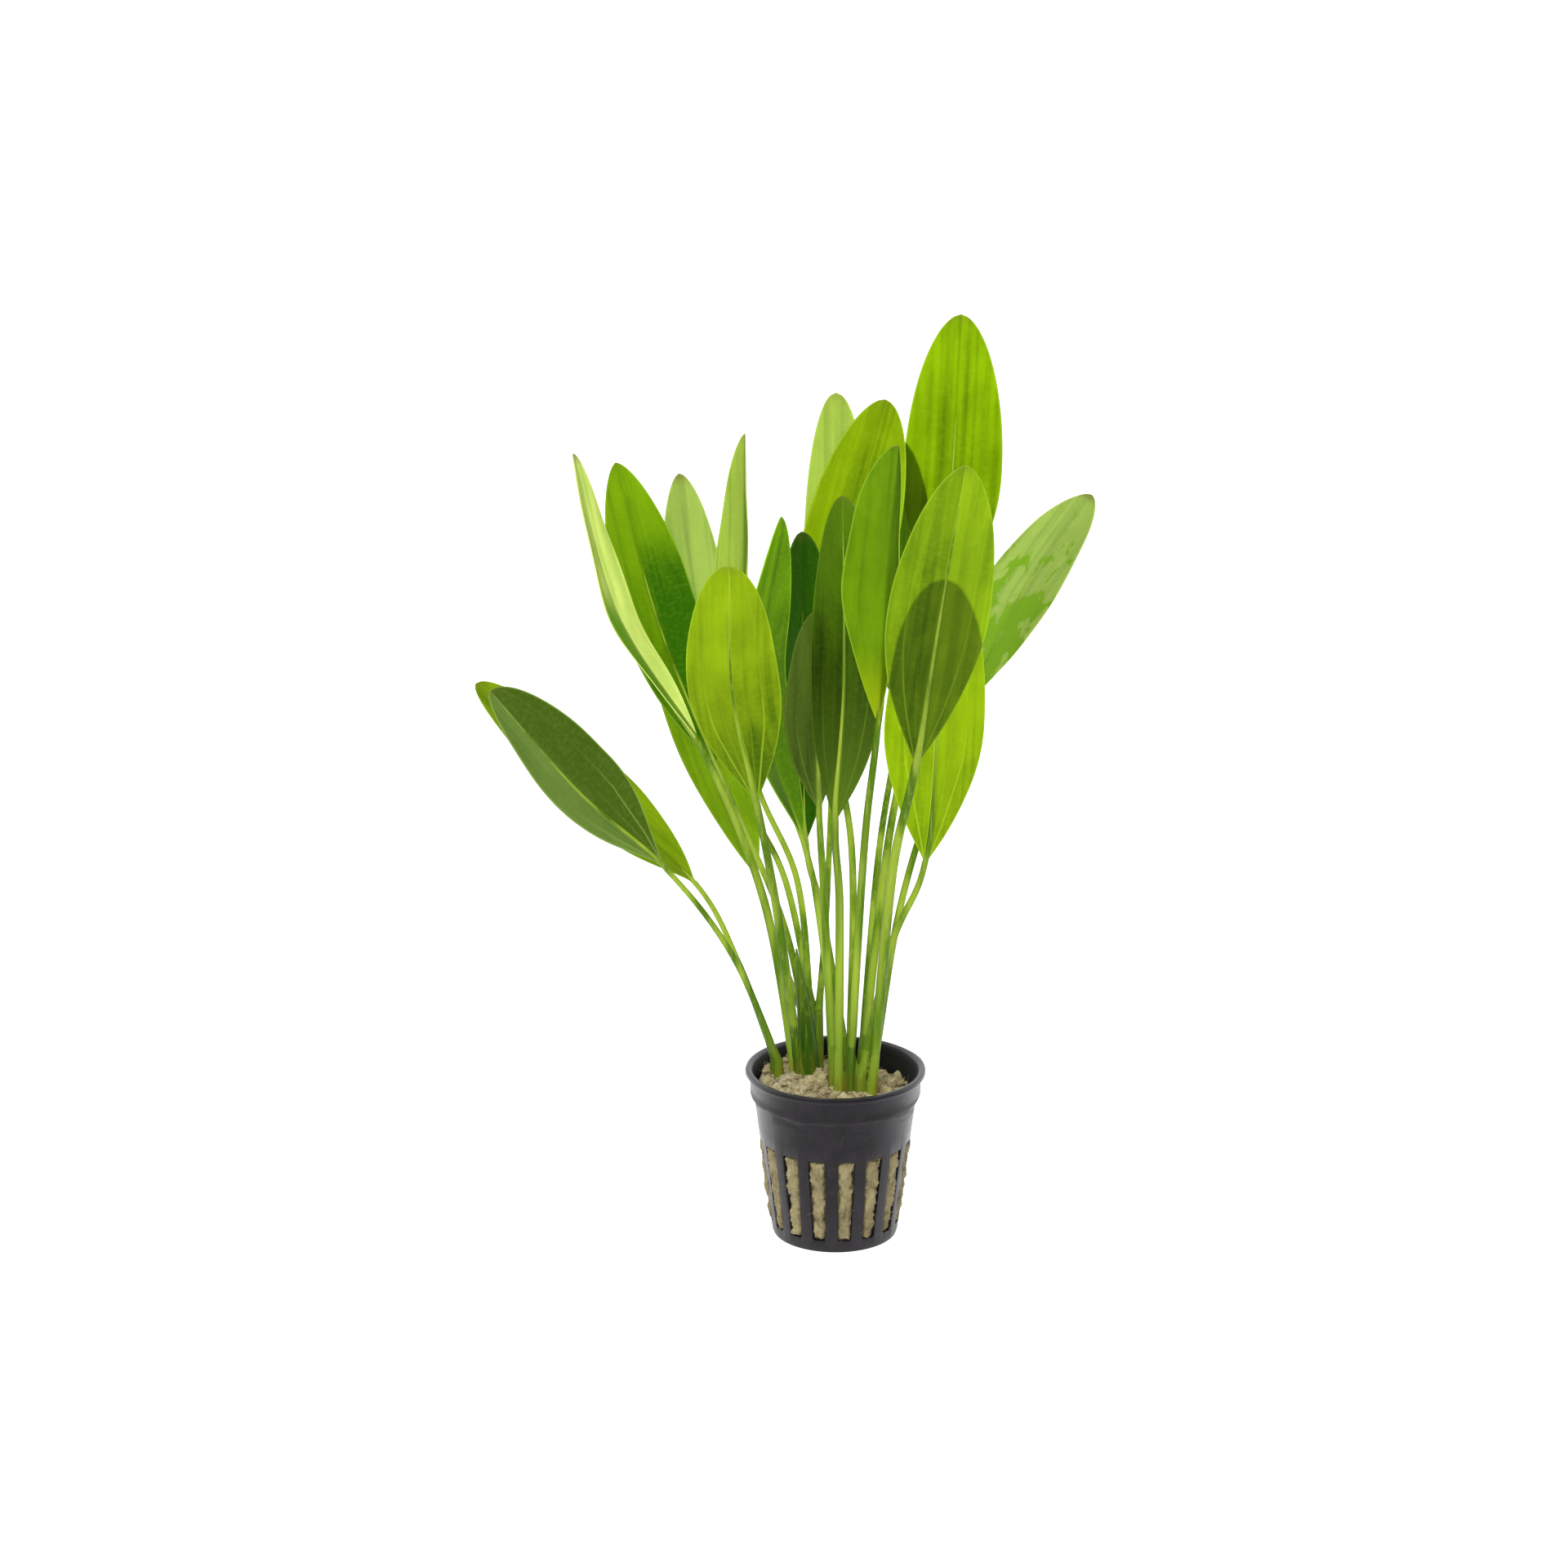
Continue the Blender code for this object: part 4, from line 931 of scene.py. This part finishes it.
def leaf_finish(name, look, slant, underside, seed):
    """One side of a leaf, by its look against the light. slant is how squarely it faces the light."""
    colour, neck, sides = look["colour"], look.get("neck", 0.2), look.get("sides", 0)
    material, shader, wire = new_finish(name, 0.42, IOR=1.42, Specular_IOR_Level=0.16)
    shares, sizes = wire.node("UVMap", uv_map="UVMap"), wire.node("UVMap", uv_map="Span")
    share, u = shares.part("X"), shares.part("Y")
    half = sizes.part("X") * DECIMETRE
    along = u * sizes.part("Y") * DECIMETRE
    off = abs(share) * half
    edge = half - off

    def vein(slope, reach, width):
        """A side vein: straight from the midrib's foot, then along the margin at its share of the width."""
        at = (along * slope).least(half * reach)
        return 1 - abs(off - at).between(width * 0.35, width)

    fade = 1 - u.between(0.26, 0.60)
    veins = (vein(0.27, 0.62, 0.36) * (fade * 0.88 + 0.12)).most(vein(0.13, 0.30, 0.22) * fade * 0.35)
    rib = 1 - (off + u * 0.75).between(0.55, 1.05)
    margin = 1 - edge.between(0.05, 0.55)
    place = wire.node("CombineXYZ", {"X": share * half, "Y": along, "Z": seed * 3.1})
    long_lines = place.stretched(1, 0.02, 1).cloud(0.50, 1, 0.5)
    fine_lines = place.stretched(1, 0.02, 1).cloud(1.3, 1, 0.5)
    cells = place.stretched(0.7, 1, 1).cloud(0.9, 3, 0.6)
    blotches = place.stretched(1, 0.35, 1).cloud(0.16, 2, 0.55)
    # Painted shade: the blade darkens towards its neck, along its middle lines where core is set, and on one
    # half where sides is set. The blotches and lines are its own mottle.
    shade_and_mottle = (1 - u.between(look.get("neck_start", 0.02), look.get("neck_end", 0.6))) * neck
    shade_and_mottle = shade_and_mottle + blotches.between(0.36, 0.66) * look.get("blotches", 0.22)
    shade_and_mottle = shade_and_mottle + long_lines.between(0.48, 0.66) * 0.20 + fine_lines.between(0.50, 0.66) * 0.07
    if "core" in look:
        shade_and_mottle = shade_and_mottle + (1 - (off / half).between(0.0, 0.5)) * long_lines.between(0.3, 0.6) * look["core"]
    if sides:
        shaded_half = (share * math.copysign(1, sides)).between(-0.10, 0.12)
        end = look.get("sides_end", 2.0)
        shade_and_mottle = shade_and_mottle + shaded_half * (1 - u.between(end - 0.12, end + 0.04)) * abs(sides)

    def dressed(base):
        """The veins, tones and painted shade over a base colour."""
        pale = tuple(min(1, value * 1.18 + lift) for value, lift in zip(base, VEIN_LIFT))
        dark = times(base, look.get("dark", USUAL_SHADE))
        tissue = shade_and_mottle.tint(base, dark)
        tissue = (cells.between(0.46, 0.64) * 0.08).tint(tissue, pale)
        if underside:
            tissue = (veins * look.get("veins", 0.5)).tint(tissue, pale)
            tissue = (rib * 0.85).tint(tissue, pale)
        else:
            # On the upper side the veins and rib are painted darker, as the shade that the raised veins and
            # rib below cast against the light.
            tissue = (veins * 0.16).tint(tissue, dark)
            tissue = (rib * look.get("rib", 0.5)).tint(tissue, times(base, (0.5, 0.5, 0.5)))
        # The margin is painted pale, as a rim of light.
        tissue = (margin * look.get("margin", 0.45)).tint(tissue, pale)
        if "wet" in look:
            drops = place.stretched(1, 0.45, 1).cloud(0.22, 3, 0.6, 0.6)
            wet = (drops + (0.55 - u) * 0.40).between(0.50, 0.56) * (1 - u.between(0.86, 0.94))
            tissue = (wet * 0.85).tint(tissue, times(base, look["wet"]))
        if "neck_glow" in look:
            glow_end = look.get("glow_end", 0.30)
            tissue = ((1 - u.between(0.05, glow_end)) * 0.8).tint(tissue, look["neck_glow"])
        return (u.between(0.955, 1.0) * look.get("tip", 0.2)).tint(tissue, BROWN_TIP)

    feed(shader, "Base Color", dressed(look.get("skin", colour)))
    feed(shader, "Roughness", 0.36 + cells * 0.10 + long_lines * 0.08)
    relief = veins * (0.9 if underside else -0.5) + cells * 0.25 + long_lines * 0.5
    feed_relief(shader, relief, 0.3, 0.0003)
    let_light_through(material, shader, dressed(through(colour, slant)), CLEAR)
    return material


# Each blade's colour in front of a white light. Shade is painted into the dark colours of far_left_front,
# middle_dark, middle_low, middle_front and back_right, and a sheen partly into the pale greyish ones of
# left_folded, back_left, back_narrow and back_pale. Neck is how much painted shade darkens it at the neck (0
# not, 1 most), from neck_start to neck_end of its length. Skin is its colour by light from the front, where
# that isn't the same. Dark is what its colour is multiplied by where the painted shade is deepest, and core
# how darkly shade is painted along its middle lines.
# Where sides is above 0 its second half is painted darker as shade, below 0 its first, up to sides_end.
# Veins, rib, margin, blotches and tip say how plain these are; the pale margin is a painted rim of light, and
# on the upper side rib and veins are painted dark as shade. Wet tints its drops, and neck_glow its neck up to
# glow_end.
LOOKS = {
    "far_left_back": dict(colour=(0.195, 0.305, 0.005), neck=0.1, margin=0.3),
    "far_left_front": dict(colour=(0.15, 0.24, 0.045), neck=0.0, sides=0.9,
                           dark=(0.40, 0.48, 0.15), margin=0.8),
    "left_folded": dict(colour=(0.39, 0.47, 0.12), neck=0.05, sides=-0.85, sides_end=0.58,
                        dark=(0.33, 0.55, 0.10), tip=0.5),
    "left_low": dict(colour=(0.19, 0.33, 0.006), neck=0.0),
    "front_left": dict(colour=(0.29, 0.43, 0.004), neck=0.68, neck_end=0.82, sides=-0.15, veins=0.55),
    "left_tall": dict(colour=(0.21, 0.375, 0.003), neck=0.8, neck_end=0.85, sides=0.7, sides_end=0.76,
                      dark=(0.15, 0.36, 0.5)),
    "back_left": dict(colour=(0.35, 0.48, 0.09), neck=0.05, tip=0.5, blotches=0.1, rib=0.15),
    "back_narrow": dict(colour=(0.20, 0.28, 0.035), neck=0.05, blotches=0.1, rib=0.15,
                        neck_glow=(0.30, 0.44, 0.01)),
    "middle_left": dict(colour=(0.19, 0.385, 0.004), neck=0.8, neck_end=0.9, sides=0.6,
                        dark=(0.34, 0.40, 0.8)),
    "middle_dark": dict(colour=(0.022, 0.090, 0.001), neck=0.0),
    "middle_low": dict(colour=(0.072, 0.122, 0.012), neck=0.2, veins=0.4),
    "middle_front": dict(colour=(0.083, 0.180, 0.002), neck=0.8, neck_start=0.38, neck_end=0.9, veins=0.45,
                         dark=(0.26, 0.29, 0.6), neck_glow=(0.10, 0.18, 0.012), glow_end=0.62),
    "middle_right": dict(colour=(0.110, 0.215, 0.002), neck=0.15, neck_end=0.7,
                         neck_glow=(0.33, 0.42, 0.004), margin=0.8),
    "back_middle": dict(colour=(0.27, 0.42, 0.002), neck=0.1, margin=0.7, core=0.3),
    "back_pale": dict(colour=(0.40, 0.54, 0.08), neck=0.1, blotches=0.1, rib=0.15),
    "back_right": dict(colour=(0.06, 0.14, 0.003), neck=0.0),
    "tallest": dict(colour=(0.275, 0.46, 0.001), neck=0.55, neck_end=0.85, core=0.5),
    "front_right": dict(colour=(0.255, 0.40, 0.002), skin=(0.32, 0.53, 0.014), neck=0.15, sides=0.4,
                        veins=0.6),
    "right_low": dict(colour=(0.32, 0.49, 0.003), neck=0.3, neck_end=0.7),
    "far_right": dict(colour=(0.31, 0.43, 0.085), neck=0.0, tip=0.6, wet=(0.55, 0.78, 0.10), blotches=0.1,
                      rib=0.15),
}
blades = {}
for number, (name, leaf) in enumerate(LEAVES.items()):
    blade = grow_blade(name, leaf, number)
    _, heading = on_route(leaf["route"], BELLY)
    _, up = across(heading, leaf["facing"])
    slant = abs(up.normalized().dot(VIEW))
    turned_over = name in TURNED_OVER
    for side, underside in (("upper", turned_over), ("lower", not turned_over)):
        title = "leaf_%s_%s" % (side, name)
        blade.data.materials.append(leaf_finish(title, LOOKS[name], slant, underside, number))
    applied(blade, "SOLIDIFY", thickness=BLADE_THICKNESS * MM, offset=0, material_offset=1)
    bpy.ops.object.shade_smooth_by_angle(angle=math.radians(60))
    settle(blade, "leaf_" + leaf["tone"], "leaf_" + name)
    blades[name] = blade


# Floor, light and camera. The plant stands on a white light table in front of a lit sweep, so that the light
# comes through its leaves. A soft box above the viewer lights the pot and the leaves from the front, and
# isn't seen in their gloss.
TABLE_RADIUS, TABLE_TOP = 9, -0.00005
bpy.ops.mesh.primitive_circle_add(
    vertices=96, radius=TABLE_RADIUS, fill_type="NGON", location=(0, 0, TABLE_TOP))
table = bpy.context.object
table.name = "light_table"
table.visible_shadow = False
white, shader, wire = new_finish("white_table", 0.6)
shader.inputs["Base Color"].default_value = (0.85, 0.85, 0.85, 1)
# The table is pure white to the eye. It lights the plant less than that, and the pot mirrors it brightest
# behind the plant, beside the sweep.
seen, mirrored = wire.node("LightPath", out="Is Camera Ray"), wire.node("LightPath", out="Is Glossy Ray")
behind = wire.node("TexCoord", out="Object").part("Y").between(-0.06, 0.05)
feed(shader, "Emission Color", 0.30 + seen * 0.70 + mirrored * (behind * 1.2 - 0.08))
shader.inputs["Emission Strength"].default_value = 1
table.data.materials.append(white)

bpy.ops.object.camera_add(location=CAMERA_PLACE, rotation=(math.pi / 2 - PITCH, 0, YAW))
camera = bpy.context.object
camera.data.sensor_width, camera.data.lens = 36, 93.66
bpy.context.scene.camera = camera


def group(name, pieces):
    """A collection of pieces for a lamp to light or to be shaded by."""
    collection = bpy.data.collections.new(name)
    for piece in pieces:
        collection.objects.link(piece)
    return collection


def light_from_behind(name, lit, close_behind, share, blur, sight=VIEW):
    """The lit sweep's light on some pieces, which is so broad that only what is close behind shades them."""
    bpy.ops.object.light_add(type="SUN", rotation=sight.to_track_quat("Z", "Y").to_euler())
    lamp = bpy.context.object
    lamp.name = name
    lamp.data.energy = SWEEP * share
    lamp.data.angle = math.radians(blur)
    lamp.light_linking.receiver_collection = group(name + "_lit", lit)
    lamp.light_linking.blocker_collection = group(name + "_shade", close_behind)


# Each front blade, the blade that lies so close behind it that its outline shows through, the share of the
# light that it takes away, and how blurred its outline is, in degrees.
CLOSE_BEHIND = {
    "front_right": ("right_low", 0.9, 1.6), "tallest": ("back_right", 1.0, 2.5),
    "middle_front": ("middle_low", 0.3, 7.0),
}
for front, (back, share, blur) in CLOSE_BEHIND.items():
    sight = Vector(LEAVES[front]["route"][BELLY]) * MM - Vector(CAMERA_PLACE)
    light_from_behind("sweep_behind_" + front, [blades[front]], [blades[back]], share, blur, sight)
    if share < 1:
        light_from_behind("sweep_round_" + back, [blades[front]], [table], 1 - share, blur, sight)
SWEEP_BLUR = 1.6
lit_through += [blade for name, blade in blades.items() if name not in CLOSE_BEHIND]
light_from_behind("sweep", lit_through, [table], 1.0, SWEEP_BLUR)


def soft_box(place, target, size, energy):
    """A lamp as broad as its box. The pot mirrors the bright sweep and the dim room, and not the lamp."""
    towards = Vector(target) - Vector(place)
    turn = towards.to_track_quat("-Z", "Y").to_euler()
    bpy.ops.object.light_add(type="AREA", location=place, rotation=turn)
    lamp = bpy.context.object
    lamp.data.shape = "RECTANGLE"
    lamp.data.size, lamp.data.size_y = size
    lamp.data.energy = energy
    lamp.visible_glossy = False
    return lamp


soft_box((-0.55, -0.95, 1.15), (0, 0, 0.1), (0.7, 1.0), 7)
# The leaves let enough light down on the wool and the feet of the stalks, so they don't shade this one.
top_light = soft_box((-0.1, -0.25, 0.95), (0, 0, 0.05), (0.4, 0.4), 4.3)
low_pieces = [rock_wool, crumbs, fibres] + lit_through[:len(CROWNS)]
top_light.light_linking.receiver_collection = group("low_pieces_lit", low_pieces)
top_light.light_linking.blocker_collection = group("low_pieces_shade", low_pieces + [net_pot])

world = bpy.data.worlds.new("white_room")
bpy.context.scene.world = world
world.use_nodes = True
wire = Wire(world.node_tree)
background = world.node_tree.nodes["Background"]
background.inputs["Color"].default_value = (1, 1, 1, 1)
# The room on the viewer's side is darker than the sweep, as the pot's gloss shows.
ahead = wire.node("TexCoord", out="Generated").part("Y").between(-0.55, 0.35)
seen, mirrored = wire.node("LightPath", out="Is Camera Ray"), wire.node("LightPath", out="Is Glossy Ray")
feed(background, "Strength", 0.42 + seen * 0.6 + mirrored * (ahead * 1.6 - 0.30))
bpy.context.scene.view_settings.view_transform = "Standard"
